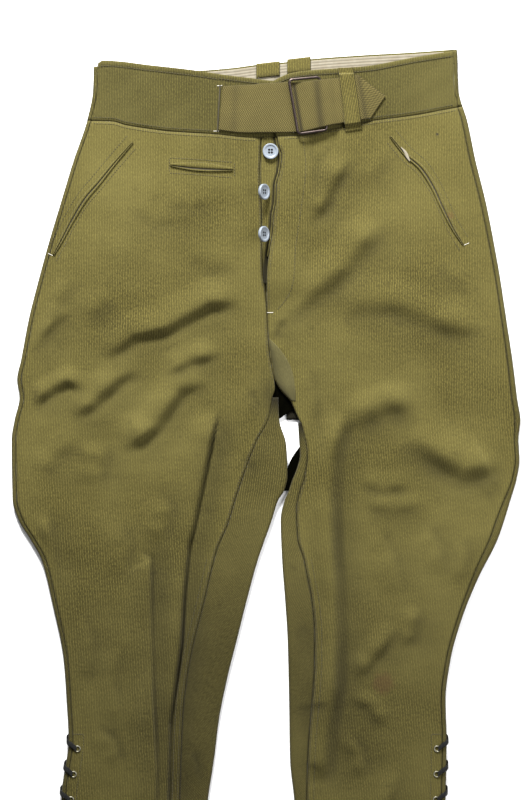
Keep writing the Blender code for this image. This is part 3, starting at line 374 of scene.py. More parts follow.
@dataclass(frozen=True)
class Leg:
    """One leg's cut as it lies: its outline, its seams and its side, -1 right or 1 left."""

    name: str
    side: int
    outer: Table
    inner: Table
    front_edge: Table
    inset: Table
    wrap_row: float

    def edge(self, table: Table, row: float) -> float:
        """Where a row meets an edge that is given by depth.

        Args:
            table: The edge, depth and x.
            row: The row's nominal depth.

        Returns:
            The edge's x.
        """
        x = float(along(table, row))
        return float(along(table, row_depth(row, x)))

    def outseam(self, row: float) -> float:
        """Where a row meets the outseam on top."""
        return self.edge(self.outer, row) - self.side * float(along(self.inset, row))


RIGHT = Leg("right", -1, RIGHT_OUTER, RIGHT_INNER, RIGHT_FRONT_EDGE, RIGHT_OUTSEAM_INSET, 0.3790)
LEFT = Leg("left", 1, LEFT_OUTER, LEFT_INNER, LEFT_FRONT_EDGE, LEFT_OUTSEAM_INSET, 0.4070)


def row_depth(row: float, x: Grid | float, on_back: Grid | float = 0.0) -> Grid:
    """Depth of a row at x: it follows the waist seam at the top and runs level lower down.

    Args:
        row: The row's nominal depth.
        x: Where to read it.
        on_back: 0 on the front's seam line, 1 on the back's.

    Returns:
        The depths.
    """
    fade = 1 - smoothstep(row, SEAM_ROW, SEAM_FADE_END)
    front = along(FRONT_SEAM, x) - SEAM_ROW
    back = along(BACK_TOP, x) + BAND_HEIGHT - SEAM_ROW
    return row + GAP * fade + fade * (front + (back - front) * on_back)


@dataclass(frozen=True)
class Relief:
    """The height of the cloth's outer face on top, and the shade painted in its folds."""

    overlap_lift: float = 0.0031
    overlap_full_x: float = 0.026
    overlap_end_x: float = 0.052
    overlap_end_depth: float = 0.250
    fly_close_depth: float = 0.292
    swell: float = 0.0020
    swell_radius: float = 0.042
    lowest: float = 0.0031
    fullness: float = 1.15
    full_length: float = 0.090
    # broad_width and broad_share: the wide band of painted shade beside each fold
    broad_width: float = 0.016
    broad_share: float = 0.45
    end_ease: float = 0.035

    def overlap(self, x: Grid, depth: Grid) -> Grid:
        """How far the left front stands up over the buttons and their stand."""
        across = 1 - smoothstep(x, self.overlap_full_x, self.overlap_end_x)
        down = 1 - smoothstep(depth, self.overlap_end_depth, self.fly_close_depth)
        hidden = BUTTON_SPOTS[3]
        reach = np.hypot(x - hidden.x, depth - hidden.depth) / self.swell_radius
        return self.overlap_lift * across * down + self.swell * (1 - smoothstep(reach, 0.25, 1.0))

    def fold(self, fold: Fold, x: Grid, depth: Grid) -> tuple[Grid, Grid]:
        """One fold's height and painted shade.

        Args:
            fold: The fold.
            x: The points' x.
            depth: The points' depth.

        Returns:
            Height and painted shade at the points.
        """
        signed, travel, length = nearest_on(fold.path, x, depth)
        ease = min(0.3, self.end_ease / length)
        taper = smoothstep(travel, 0.0, ease) * smoothstep(1 - travel, 0.0, ease)
        uneven = 0.86 + 0.14 * np.sin(travel * 17 + fold.path[0][0] * 90)
        rise = smoothstep(signed, -fold.steep / 2, fold.steep / 2)
        fall = 1 - smoothstep(signed, fold.steep / 2, fold.soft)
        line = signed + fold.steep / 2
        dip = np.exp(-((line / max(fold.steep * 0.45, 0.0016)) ** 2))
        # Painted shade: a narrow dark line at the fold's foot, and a broad fainter band on its lower right side
        shade = np.exp(-((line / fold.dark_width) ** 2))
        broad = np.exp(-(((line + self.broad_width / 2) / self.broad_width) ** 2))
        shade = np.maximum(shade, self.broad_share * broad)
        full = self.fullness * min(1.0, length / self.full_length)
        height = (full * fold.height * rise * fall - fold.trough * dip) * taper * uneven
        return height, fold.dark * shade * np.sqrt(taper) * uneven

    @staticmethod
    def ripple(x: Grid, depth: Grid) -> Grid:
        """The cloth's own slight unevenness, a few tenths of a millimetre."""
        slow = np.sin(31 * x + 57 * depth + 1.3) * np.sin(43 * depth - 22 * x + 0.4)
        mid = np.sin(118 * x - 64 * depth + 2.1) * np.sin(97 * depth + 51 * x)
        fine = np.sin(230 * x + 150 * depth) * np.sin(260 * depth - 190 * x + 0.9)
        return 0.00045 * slow + 0.00022 * mid + 0.00009 * fine

    def read(self, leg: Leg, x: Grid, depth: Grid) -> tuple[Grid, Grid]:
        """Read the top of a leg.

        Args:
            leg: The leg.
            x: The points' x.
            depth: The points' depth.

        Returns:
            The outer face's height, and its painted shade from 0 to 1.
        """
        x, depth = np.broadcast_arrays(np.asarray(x, float), np.asarray(depth, float))
        relief = np.zeros(x.shape)
        shade = np.zeros(x.shape)
        for fold in FOLDS + CREASES:
            height, dark = self.fold(fold, x, depth)
            relief = relief + height
            shade = np.maximum(shade, dark)
        for puff in PUFFS:
            r = np.hypot((x - puff.x) / puff.radius_x, (depth - puff.depth) / puff.radius_depth)
            relief = relief + puff.height * np.clip(1 - r * r, 0.0, 1.0) ** 2
        relief = relief + self.ripple(x, depth)
        from_outer = leg.side * (along(leg.outer, depth) - x)
        from_inner = leg.side * (x - along(leg.inner, depth))
        in_leg = smoothstep(depth, 0.35, 0.39)
        edge = smoothstep(from_outer, EDGE_ROUND, 0.028)
        edge = edge * (1 - in_leg + in_leg * smoothstep(from_inner, EDGE_ROUND, 0.026))
        edge = edge * smoothstep(depth, SEAM_ROW, 0.130)
        across_fly = 1 - smoothstep(np.abs(x - 0.010), 0.022, 0.045)
        edge = edge * (1 - across_fly * (1 - smoothstep(depth, 0.27, 0.31)))
        relief = relief * edge
        if leg.side > 0:
            relief = relief + self.overlap(x, depth)
        return np.maximum(BASE_TOP + relief, self.lowest), shade * np.sqrt(edge)

    def top(self, leg: Leg, x: Grid | float, depth: Grid | float) -> Grid:
        """The outer face's height alone."""
        return self.read(leg, x, depth)[0]


RELIEF = Relief()


def place(x: Grid, depth: Grid, z: Grid) -> Grid:
    """Points of the laid garment in the frame.

    Args:
        x: Across the garment.
        depth: Down it.
        z: Above the floor.

    Returns:
        The points, one in each last row.
    """
    x, depth, z = np.broadcast_arrays(np.asarray(x, float), depth, z)
    return np.stack([x, CENTRE_DEPTH - depth, z], axis=-1)


def deselect_all() -> None:
    """Leave object mode clean, with nothing selected."""
    if bpy.context.object and bpy.context.object.mode != "OBJECT":
        bpy.ops.object.mode_set(mode="OBJECT")
    bpy.ops.object.select_all(action="DESELECT")


def apply_modifiers(piece: bpy.types.Object) -> None:
    """Apply a piece's modifiers in order.

    Args:
        piece: The piece.
    """
    deselect_all()
    bpy.context.view_layer.objects.active = piece
    piece.select_set(True)
    for modifier in list(piece.modifiers):
        bpy.ops.object.modifier_apply(modifier=modifier.name)


def settle(piece: bpy.types.Object) -> None:
    """Put a piece's place, turn and size in its mesh.

    Args:
        piece: The piece.
    """
    deselect_all()
    bpy.context.view_layer.objects.active = piece
    piece.select_set(True)
    bpy.ops.object.transform_apply(location=True, rotation=True, scale=True)


def cloth_sheet(
    name: str,
    points: Grid,
    weave: Grid,
    thickness: float,
    finish: bpy.types.Material,
    shade: Grid | None = None,
    cut: tuple[int, int] | None = None,
) -> bpy.types.Object:
    """Lay a fine grid on its points and give it its thickness.

    Args:
        name: The piece's name.
        points: Rows and columns of points, rows down the cloth, the outer face.
        weave: Each point's place in the cloth's own weave, in metres.
        thickness: The cloth's thickness, added on its inner side.
        finish: Its material.
        shade: Each point's painted shade, from 0 to 1.
        cut: A row and a column; the faces just above the row are left out from the column on.

    Returns:
        The piece.
    """
    count, width = points.shape[:2]
    flipped = False
    across = points[:, 1:] - points[:, :-1]
    down = points[1:] - points[:-1]
    normal = np.cross(across[:-1], -down[:, :-1])
    low = points[..., 2] < 0.5 * (points[..., 2].min() + points[..., 2].max())
    outward = np.where(low[:-1, :-1] & (points[..., 2].min() < MM), -1.0, 1.0)
    if (normal[..., 2] * outward).sum() < 0:
        points = points[:, ::-1]
        weave = weave[:, ::-1]
        shade = None if shade is None else shade[:, ::-1]
        flipped = True
    deselect_all()
    bpy.ops.mesh.primitive_grid_add(x_subdivisions=width - 1, y_subdivisions=count - 1, size=1.0)
    piece = bpy.context.object
    piece.name = name
    mesh = piece.data
    mesh.name = name
    flat = np.zeros(len(mesh.vertices) * 3)
    mesh.vertices.foreach_get("co", flat)
    flat = flat.reshape(-1, 3)
    column = np.rint((flat[:, 0] + 0.5) * (width - 1)).astype(int)
    line = np.rint((0.5 - flat[:, 1]) * (count - 1)).astype(int)
    mesh.vertices.foreach_set("co", points[line, column].ravel())
    corners = np.zeros(len(mesh.loops), int)
    mesh.loops.foreach_get("vertex_index", corners)
    layer = mesh.uv_layers.active or mesh.uv_layers.new(name="weave")
    layer.name = "weave"
    layer.uv.foreach_set("vector", weave[line, column][corners].ravel())
    # The shade attribute carries painted shade, which the finishes mix in
    darkness = mesh.attributes.new("shade", "FLOAT", "POINT")
    values = np.zeros(len(column)) if shade is None else shade[line, column]
    darkness.data.foreach_set("value", values.astype(np.float32))
    mesh.update()
    mesh.shade_smooth()
    if cut is not None:
        place_in_row = width - 1 - column if flipped else column
        made = bmesh.new()
        made.from_mesh(mesh)
        made.verts.ensure_lookup_table()
        gone = [
            face for face in made.faces
            if min(line[v.index] for v in face.verts) == cut[0] - 1
            and min(place_in_row[v.index] for v in face.verts) >= cut[1]
        ]
        bmesh.ops.delete(made, geom=gone, context="FACES_ONLY")
        made.to_mesh(mesh)
        made.free()
    solid = piece.modifiers.new("thickness", "SOLIDIFY")
    solid.thickness = thickness
    solid.offset = -1.0
    apply_modifiers(piece)
    piece.data.materials.clear()
    piece.data.materials.append(finish)
    return piece


def finish_piece(piece: bpy.types.Object, slot: str, *nodes: str) -> bpy.types.Object:
    """Tie a piece to the frame.

    Args:
        piece: The piece.
        slot: Not used.
        nodes: The solids that it stands for.

    Returns:
        The piece.
    """
    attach(piece, "root")
    if nodes:
        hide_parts(*nodes)
    LOG.info("%s: %d faces", piece.name, len(piece.data.polygons))
    return piece


def declare_sheet(
    points: Grid,
    cut: tuple[int, int] | None = None,
) -> None:
    """Measure a laid sheet's width and length along its own surface; nothing is done with them.

    A tape narrower than a centimetre is too narrow for a sheet and stays a plain piece.

    Args:
        points: The grid that it was laid on.
        cut: The row and column that its cut starts at, if it has one.
    """
    across = np.linalg.norm(points[:, 1:] - points[:, :-1], axis=-1)
    down = np.linalg.norm(points[1:] - points[:-1], axis=-1)
    cells = 0.5 * np.linalg.norm(
        np.cross(points[1:, 1:] - points[:-1, :-1], points[:-1, 1:] - points[1:, :-1]), axis=-1)
    if cut is not None:
        down = down[:, :cut[1]]
        cells[cut[0] - 1, cut[1]:] = 0.0
    width = round(float(across.sum(axis=1).max()), 4)
    length = round(float(down.sum(axis=0).max()), 4)
    if min(width, length) < NARROWEST_SHEET:
        return


class NodeBuilder:
    """Adds and links nodes in a tree, left to right."""

    def __init__(self, tree: bpy.types.NodeTree) -> None:
        """Work in a tree.

        Args:
            tree: The material's or group's node tree.
        """
        self.tree = tree
        self.count = 0

    def add(self, kind: str, inputs: dict[str | int, object] | None = None, **settings: object) -> bpy.types.Node:
        """Add a node.

        Args:
            kind: The node's type name.
            inputs: Values or sockets for its inputs.
            settings: Its own properties.

        Returns:
            The node.
        """
        node = self.tree.nodes.new(kind)
        node.location = (220 * (self.count % 12), -260 * (self.count // 12))
        self.count += 1
        for key, value in settings.items():
            setattr(node, key, value)
        for key, value in (inputs or {}).items():
            if isinstance(value, bpy.types.NodeSocket):
                self.tree.links.new(value, node.inputs[key])
            else:
                node.inputs[key].default_value = value
        return node

    def math(self, operation: str, first: object, second: object = 0.0) -> bpy.types.NodeSocket:
        """Add a Math node.

        Args:
            operation: Its operation.
            first: First value or socket.
            second: Second value or socket.

        Returns:
            Its output.
        """
        return self.add("ShaderNodeMath", {0: first, 1: second}, operation=operation).outputs[0]

    def mix(self, share: object, first: object, second: object) -> bpy.types.NodeSocket:
        """Mix two colours.

        Args:
            share: How much of the second.
            first: First colour or socket.
            second: Second colour or socket.

        Returns:
            The mixed colour.
        """
        node = self.add("ShaderNodeMix", data_type="RGBA")
        for index, value in ((0, share), (6, first), (7, second)):
            if isinstance(value, bpy.types.NodeSocket):
                self.tree.links.new(value, node.inputs[index])
            else:
                node.inputs[index].default_value = value
        return node.outputs[2]

    def noise(self, vector: bpy.types.NodeSocket, scale: float, detail: float = 2.0) -> bpy.types.NodeSocket:
        """Add a noise and return its value.

        Args:
            vector: Where it is read.
            scale: Its scale.
            detail: Its detail.

        Returns:
            The noise's value.
        """
        node = self.add("ShaderNodeTexNoise", {"Vector": vector, "Scale": scale, "Detail": detail})
        return node.outputs["Fac"]


def make_group(name: str, inputs: dict[str, tuple[str, object]], outputs: Sequence[str]) -> bpy.types.NodeTree:
    """Start a shader node group with named sockets.

    Args:
        name: The group's name.
        inputs: Each input's socket type and default.
        outputs: The names of its value outputs.

    Returns:
        The group.
    """
    group = bpy.data.node_groups.new(name, "ShaderNodeTree")
    for key, (kind, default) in inputs.items():
        socket = group.interface.new_socket(name=key, in_out="INPUT", socket_type=kind)
        if default is not None:
            socket.default_value = default
    for key in outputs:
        group.interface.new_socket(name=key, in_out="OUTPUT", socket_type="NodeSocketFloat")
    return group


def rib_group() -> bpy.types.NodeTree:
    """Ribs of the cord with broken flecks, read in the cloth's own weave.

    Returns:
        The group, with outputs Rib, Fleck and Height.
    """
    group = make_group(
        "cord_ribs",
        {"Weave": ("NodeSocketVector", None), "Pitch": ("NodeSocketFloat", 0.0021),
         "Break": ("NodeSocketFloat", 0.5)},
        ("Rib", "Fleck", "Height"),
    )
    nodes = NodeBuilder(group)
    source = nodes.add("NodeGroupInput")
    parts = nodes.add("ShaderNodeSeparateXYZ", {0: source.outputs["Weave"]})
    wander = nodes.noise(source.outputs["Weave"], 60.0, 3.0)
    swayed = nodes.math("MULTIPLY_ADD", wander, 0.0016)
    nodes.tree.links.new(parts.outputs[0], swayed.node.inputs[2])
    turns = nodes.math("DIVIDE", swayed, source.outputs["Pitch"])
    wave = nodes.math("SINE", nodes.math("MULTIPLY", turns, 2 * math.pi))
    rib = nodes.math("MULTIPLY_ADD", wave, 0.5)
    rib.node.inputs[2].default_value = 0.5
    stretched = nodes.add(
        "ShaderNodeMapping", {"Vector": source.outputs["Weave"], "Scale": (1.0, 0.36, 1.0)})
    fleck = nodes.noise(stretched.outputs[0], 1000.0, 3.0)
    spread = nodes.add(
        "ShaderNodeMapRange",
        {"Value": fleck, "From Min": 0.34, "From Max": 0.66, "To Min": 0.0, "To Max": 1.0})
    broken = nodes.math("MULTIPLY", spread.outputs[0], source.outputs["Break"])
    kept = nodes.math("SUBTRACT", 1.0, broken)
    mask = nodes.math("MULTIPLY", rib, kept)
    picks = nodes.math("SINE", nodes.math("MULTIPLY", parts.outputs[1], 2 * math.pi / 0.0011))
    height = nodes.math("ADD", mask, nodes.math("MULTIPLY", picks, 0.12))
    nodes.add("NodeGroupOutput", {"Rib": mask, "Fleck": spread.outputs[0], "Height": height})
    return group


def wear_group() -> bpy.types.NodeTree:
    """Broad fading and small soiling that many of the cloth finishes share.

    Returns:
        The group, with outputs Fade and Soil.
    """
    group = make_group(
        "cloth_wear",
        {"Place": ("NodeSocketVector", None), "Scale": ("NodeSocketFloat", 9.0)},
        ("Fade", "Soil"),
    )
    nodes = NodeBuilder(group)
    source = nodes.add("NodeGroupInput")
    broad = nodes.add(
        "ShaderNodeTexNoise",
        {"Vector": source.outputs["Place"], "Scale": source.outputs["Scale"], "Detail": 3.0})
    fade = nodes.add(
        "ShaderNodeMapRange",
        {"Value": broad.outputs["Fac"], "From Min": 0.35, "From Max": 0.65, "To Min": 0.0, "To Max": 1.0})
    small = nodes.noise(source.outputs["Place"], 70.0, 4.0)
    soil = nodes.add(
        "ShaderNodeMapRange",
        {"Value": small, "From Min": 0.62, "From Max": 0.80, "To Min": 0.0, "To Max": 1.0})
    nodes.add("NodeGroupOutput", {"Fade": fade.outputs[0], "Soil": soil.outputs[0]})
    return group


def spot_group() -> bpy.types.NodeTree:
    """A round soft-edged mark in the frame.

    Returns:
        The group, with the output Mask.
    """
    group = make_group(
        "round_mark",
        {"Place": ("NodeSocketVector", None), "Middle": ("NodeSocketVector", None),
         "Radius": ("NodeSocketFloat", 0.005), "Strength": ("NodeSocketFloat", 0.5)},
        ("Mask",),
    )
    nodes = NodeBuilder(group)
    source = nodes.add("NodeGroupInput")
    apart = nodes.add(
        "ShaderNodeVectorMath", {0: source.outputs["Place"], 1: source.outputs["Middle"]},
        operation="DISTANCE")
    uneven = nodes.noise(source.outputs["Place"], 260.0, 3.0)
    share = nodes.math("DIVIDE", apart.outputs["Value"], source.outputs["Radius"])
    share = nodes.math("ADD", share, nodes.math("SUBTRACT", uneven, 0.5))
    inside = nodes.add(
        "ShaderNodeMapRange",
        {"Value": share, "From Min": 0.45, "From Max": 1.0, "To Min": 1.0, "To Max": 0.0})
    mask = nodes.math("MULTIPLY", inside.outputs[0], source.outputs["Strength"])
    nodes.add("NodeGroupOutput", {"Mask": mask})
    return group


class Groups:
    """The shared node groups, made once."""

    def __init__(self) -> None:
        """Make them all."""
        self.ribs = rib_group()
        self.wear = wear_group()
        self.spot = spot_group()


def start_material(name: str) -> tuple[bpy.types.Material, NodeBuilder, bpy.types.Node]:
    """Start a material with only its shader.

    Args:
        name: Its name.

    Returns:
        The material, a builder for its tree, and its Principled BSDF.
    """
    made = bpy.data.materials.new(name)
    made.use_nodes = True
    nodes = NodeBuilder(made.node_tree)
    return made, nodes, made.node_tree.nodes["Principled BSDF"]


@dataclass(frozen=True)
class Spot:
    """A small round stain in the frame: its middle, radius, strength and colour."""

    middle: tuple[float, float, float]
    radius: float
    strength: float
    colour: Colour


STAINS: tuple[Spot, ...] = (
    Spot((0.1287, -0.2033, 0.008), 0.0150, 0.40, (0.085, 0.040, 0.018, 1.0)),
    Spot((0.1885, 0.4004, 0.007), 0.0022, 0.90, (0.010, 0.010, 0.014, 1.0)),
    Spot((0.2030, 0.3110, 0.008), 0.0050, 0.35, (0.085, 0.040, 0.018, 1.0)),
    Spot((-0.1130, 0.0330, 0.012), 0.0028, 0.60, (0.030, 0.016, 0.008, 1.0)),
)


@dataclass(frozen=True)
class CordFinish:
    """Ribbed cotton cord: dark grooves, light ribs with broken flecks, faded and a little soiled."""

    name: str
    groove: Colour = (0.020, 0.016, 0.003, 1.0)
    rib: Colour = (0.158, 0.133, 0.032, 1.0)
    faded: Colour = (0.132, 0.113, 0.033, 1.0)
    # dark: the colour that the painted shade in the shade attribute mixes towards
    dark: Colour = (0.006, 0.005, 0.002, 1.0)
    pitch: float = 0.0018
    rough: float = 0.88
    gloss: float = 0.12
    sheen: float = 0.05
    bump: float = 0.00045
    spots: tuple[Spot, ...] = ()

    @staticmethod
    def stain(nodes: NodeBuilder, groups: Groups, where: bpy.types.Node,
              cloth: bpy.types.NodeSocket, spot: Spot) -> bpy.types.NodeSocket:
        """Stain the cloth in one spot.

        Args:
            nodes: The material's builder.
            groups: The shared node groups.
            where: The texture coordinates.
            cloth: The colour so far.
            spot: The stain.

        Returns:
            The stained colour.
        """
        mark = nodes.add("ShaderNodeGroup", node_tree=groups.spot)
        nodes.tree.links.new(where.outputs["Object"], mark.inputs["Place"])
        mark.inputs["Middle"].default_value = spot.middle
        mark.inputs["Radius"].default_value = spot.radius
        mark.inputs["Strength"].default_value = spot.strength
        return nodes.mix(mark.outputs["Mask"], cloth, spot.colour)

    def make(self, groups: Groups) -> bpy.types.Material:
        """Build the material.

        Args:
            groups: The shared node groups.

        Returns:
            The material.
        """
        made, nodes, shader = start_material(self.name)
        weave = nodes.add("ShaderNodeUVMap", uv_map="weave")
        where = nodes.add("ShaderNodeTexCoord")
        ribs = nodes.add("ShaderNodeGroup", node_tree=groups.ribs)
        nodes.tree.links.new(weave.outputs[0], ribs.inputs["Weave"])
        ribs.inputs["Pitch"].default_value = self.pitch
        ribs.inputs["Break"].default_value = 0.75
        wear = nodes.add("ShaderNodeGroup", node_tree=groups.wear)
        nodes.tree.links.new(where.outputs["Object"], wear.inputs["Place"])
        wear.inputs["Scale"].default_value = 7.0
        shade = nodes.add("ShaderNodeAttribute", attribute_name="shade")
        cloth = nodes.mix(ribs.outputs["Rib"], self.groove, self.rib)
        worn = nodes.math("MULTIPLY", wear.outputs["Fade"], 0.45)
        cloth = nodes.mix(worn, cloth, self.faded)
        soiled = nodes.math("MULTIPLY", wear.outputs["Soil"], 0.30)
        cloth = nodes.mix(soiled, cloth, self.groove)
        for spot in self.spots:
            cloth = self.stain(nodes, groups, where, cloth, spot)
        # Painted shade from the shade attribute
        cloth = nodes.mix(shade.outputs["Fac"], cloth, self.dark)
        nodes.tree.links.new(cloth, shader.inputs["Base Color"])
        shader.inputs["Roughness"].default_value = self.rough
        shader.inputs["Sheen Weight"].default_value = self.sheen
        shader.inputs["Sheen Roughness"].default_value = 0.45
        shader.inputs["Specular IOR Level"].default_value = self.gloss
        bump = nodes.add(
            "ShaderNodeBump",
            {"Height": ribs.outputs["Height"], "Distance": self.bump, "Strength": 0.9})
        nodes.tree.links.new(bump.outputs[0], shader.inputs["Normal"])
        return made


@dataclass(frozen=True)
class WebFinish:
    """Herringbone webbing or a flat woven lace."""

    name: str
    low: Colour = (0.034, 0.027, 0.007, 1.0)
    high: Colour = (0.112, 0.092, 0.027, 1.0)
    # dark: the colour that the painted shade in the shade attribute mixes towards
    dark: Colour = (0.008, 0.006, 0.003, 1.0)
    column: float = 0.0050
    thread: float = 0.0024
    rough: float = 0.85
    bump: float = 0.0003
    sheen: float = 0.02

    def make(self, groups: Groups) -> bpy.types.Material:
        """Build the material.

        Args:
            groups: The shared node groups.

        Returns:
            The material.
        """
        made, nodes, shader = start_material(self.name)
        weave = nodes.add("ShaderNodeUVMap", uv_map="weave")
        parts = nodes.add("ShaderNodeSeparateXYZ", {0: weave.outputs[0]})
        cross = nodes.math("PINGPONG", parts.outputs[1], self.column / 2)
        slant = nodes.math("ADD", parts.outputs[0], cross)
        turns = nodes.math("MULTIPLY", slant, 2 * math.pi / self.thread)
        wave = nodes.math("MULTIPLY_ADD", nodes.math("SINE", turns), 0.5)
        wave.node.inputs[2].default_value = 0.5
        fleck = nodes.noise(weave.outputs[0], 900.0, 2.0)
        mask = nodes.math("MULTIPLY", wave, nodes.math("ADD", fleck, 0.45))
        colour = nodes.mix(mask, self.low, self.high)
        where = nodes.add("ShaderNodeTexCoord")
        wear = nodes.add("ShaderNodeGroup", node_tree=groups.wear)
        nodes.tree.links.new(where.outputs["Object"], wear.inputs["Place"])
        wear.inputs["Scale"].default_value = 30.0
        colour = nodes.mix(nodes.math("MULTIPLY", wear.outputs["Fade"], 0.25), colour, self.low)
        # Painted shade from the shade attribute
        shade = nodes.add("ShaderNodeAttribute", attribute_name="shade")
        colour = nodes.mix(shade.outputs["Fac"], colour, self.dark)
        nodes.tree.links.new(colour, shader.inputs["Base Color"])
        shader.inputs["Roughness"].default_value = self.rough
        shader.inputs["Sheen Weight"].default_value = self.sheen
        shader.inputs["Specular IOR Level"].default_value = 0.15
        bump = nodes.add("ShaderNodeBump", {"Height": wave, "Distance": self.bump, "Strength": 0.8})
        nodes.tree.links.new(bump.outputs[0], shader.inputs["Normal"])
        return made


@dataclass(frozen=True)
class PlainFinish:
    """A smooth material with a little mottling: lining, thread, horn, steel or the floor."""

    name: str
    colour: Colour
    second: Colour
    scale: float
    rough: float
    second_rough: float
    metal: float = 0.0
    bump: float = 0.0
    # shaded: darken it by the shade attribute, which carries painted shade
    shaded: bool = False

    def make(self) -> bpy.types.Material:
        """Build the material.

        Returns:
            The material.
        """
        made, nodes, shader = start_material(self.name)
        where = nodes.add("ShaderNodeTexCoord")
        grain = nodes.noise(where.outputs["Object"], self.scale, 5.0)
        colour = nodes.mix(grain, self.colour, self.second)
        # Painted shade from the shade attribute
        if self.shaded:
            shade = nodes.add("ShaderNodeAttribute", attribute_name="shade")
            colour = nodes.mix(shade.outputs["Fac"], colour, (0.10, 0.08, 0.05, 1.0))
        nodes.tree.links.new(colour, shader.inputs["Base Color"])
        rough = nodes.add(
            "ShaderNodeMapRange",
            {"Value": grain, "From Min": 0.3, "From Max": 0.7, "To Min": self.rough,
             "To Max": self.second_rough})
        nodes.tree.links.new(rough.outputs[0], shader.inputs["Roughness"])
        shader.inputs["Metallic"].default_value = self.metal
        if self.bump:
            bump = nodes.add(
                "ShaderNodeBump", {"Height": grain, "Distance": self.bump, "Strength": 0.6})
            nodes.tree.links.new(bump.outputs[0], shader.inputs["Normal"])
        return made


@dataclass
class Finishes:
    """Every finish of the garment, made once."""

    groups: Groups = field(default_factory=Groups)

    def __post_init__(self) -> None:
        """Make the materials."""
        self.cord = CordFinish("cord_cloth", spots=STAINS).make(self.groups)
        # The band's cord: a darker copy of the cloth's
        self.band = CordFinish(
            "cord_band", groove=(0.016, 0.013, 0.003, 1.0), rib=(0.108, 0.093, 0.022, 1.0),
            faded=(0.090, 0.078, 0.023, 1.0)).make(self.groups)
        # A darker copy of the cord for the backs: painted shade on the strips that turn away at the outlines
        self.backing = CordFinish(
            "cord_back_shaded", groove=(0.018, 0.015, 0.003, 1.0), rib=(0.122, 0.102, 0.025, 1.0),
            faded=(0.101, 0.086, 0.026, 1.0)).make(self.groups)
        # Near black: painted deep shade for the inside of the back and the tuck
        self.inside = CordFinish(
            "cord_inside_deep_shade", groove=(0.002, 0.002, 0.001, 1.0), rib=(0.008, 0.007, 0.003, 1.0),
            faded=(0.006, 0.005, 0.002, 1.0), dark=(0.0010, 0.0010, 0.0005, 1.0), gloss=0.0, sheen=0.0
        ).make(self.groups)
        self.webbing = WebFinish("belt_webbing").make(self.groups)
        self.lace = WebFinish(
            "boot_lace", low=(0.003, 0.003, 0.003, 1.0), high=(0.014, 0.014, 0.013, 1.0),
            dark=(0.002, 0.002, 0.002, 1.0), column=0.0025, thread=0.0010, rough=0.7, sheen=0.0
        ).make(self.groups)
        self.lining = PlainFinish(
            "cream_lining", (0.225, 0.205, 0.155, 1.0), (0.140, 0.118, 0.078, 1.0), 160.0, 0.85, 0.95,
            bump=0.0003, shaded=True).make()
        self.gusset = CordFinish(
            "gusset_twill", groove=(0.046, 0.040, 0.014, 1.0), rib=(0.118, 0.104, 0.038, 1.0),
            faded=(0.100, 0.089, 0.036, 1.0), pitch=0.0012, bump=0.0002).make(self.groups)
        self.thread = PlainFinish(
            "olive_thread", (0.022, 0.018, 0.006, 1.0), (0.050, 0.042, 0.014, 1.0), 500.0, 0.7, 0.85
        ).make()
        self.pale_thread = PlainFinish(
            "pale_thread", (0.40, 0.38, 0.33, 1.0), (0.55, 0.52, 0.46, 1.0), 500.0, 0.7, 0.85).make()
        # Painted shade: the dark strip seen in the pocket mouths and the belt's slit
        self.mouth = PlainFinish(
            "pocket_mouth_shade", (0.020, 0.016, 0.007, 1.0), (0.035, 0.029, 0.012, 1.0), 300.0, 0.9, 0.95
        ).make()
        self.button = PlainFinish(
            "button_composition", (0.20, 0.225, 0.25, 1.0), (0.13, 0.15, 0.18, 1.0), 220.0, 0.30, 0.42,
            bump=0.00004).make()
        self.steel = PlainFinish(
            "japanned_steel", (0.030, 0.021, 0.018, 1.0), (0.066, 0.050, 0.045, 1.0), 260.0, 0.26, 0.45,
            metal=0.85, bump=0.00005).make()
        self.eyelet = PlainFinish(
            "eyelet_metal", (0.24, 0.23, 0.18, 1.0), (0.15, 0.14, 0.10, 1.0), 400.0, 0.35, 0.55,
            metal=0.8).make()


class Crowding(Enum):
    """How a grid's columns crowd towards its edges."""

    EVEN = 0.0
    SEAMS = 0.5


def spaced_shares(count: int, crowding: Crowding) -> Grid:
    """Shares from 0 to 1, closer together near both ends.

    Args:
        count: How many intervals.
        crowding: How strongly they crowd.

    Returns:
        The shares.
    """
    even = np.linspace(0.0, 1.0, count + 1)
    return even - crowding.value * np.sin(2 * math.pi * even) / (2 * math.pi)


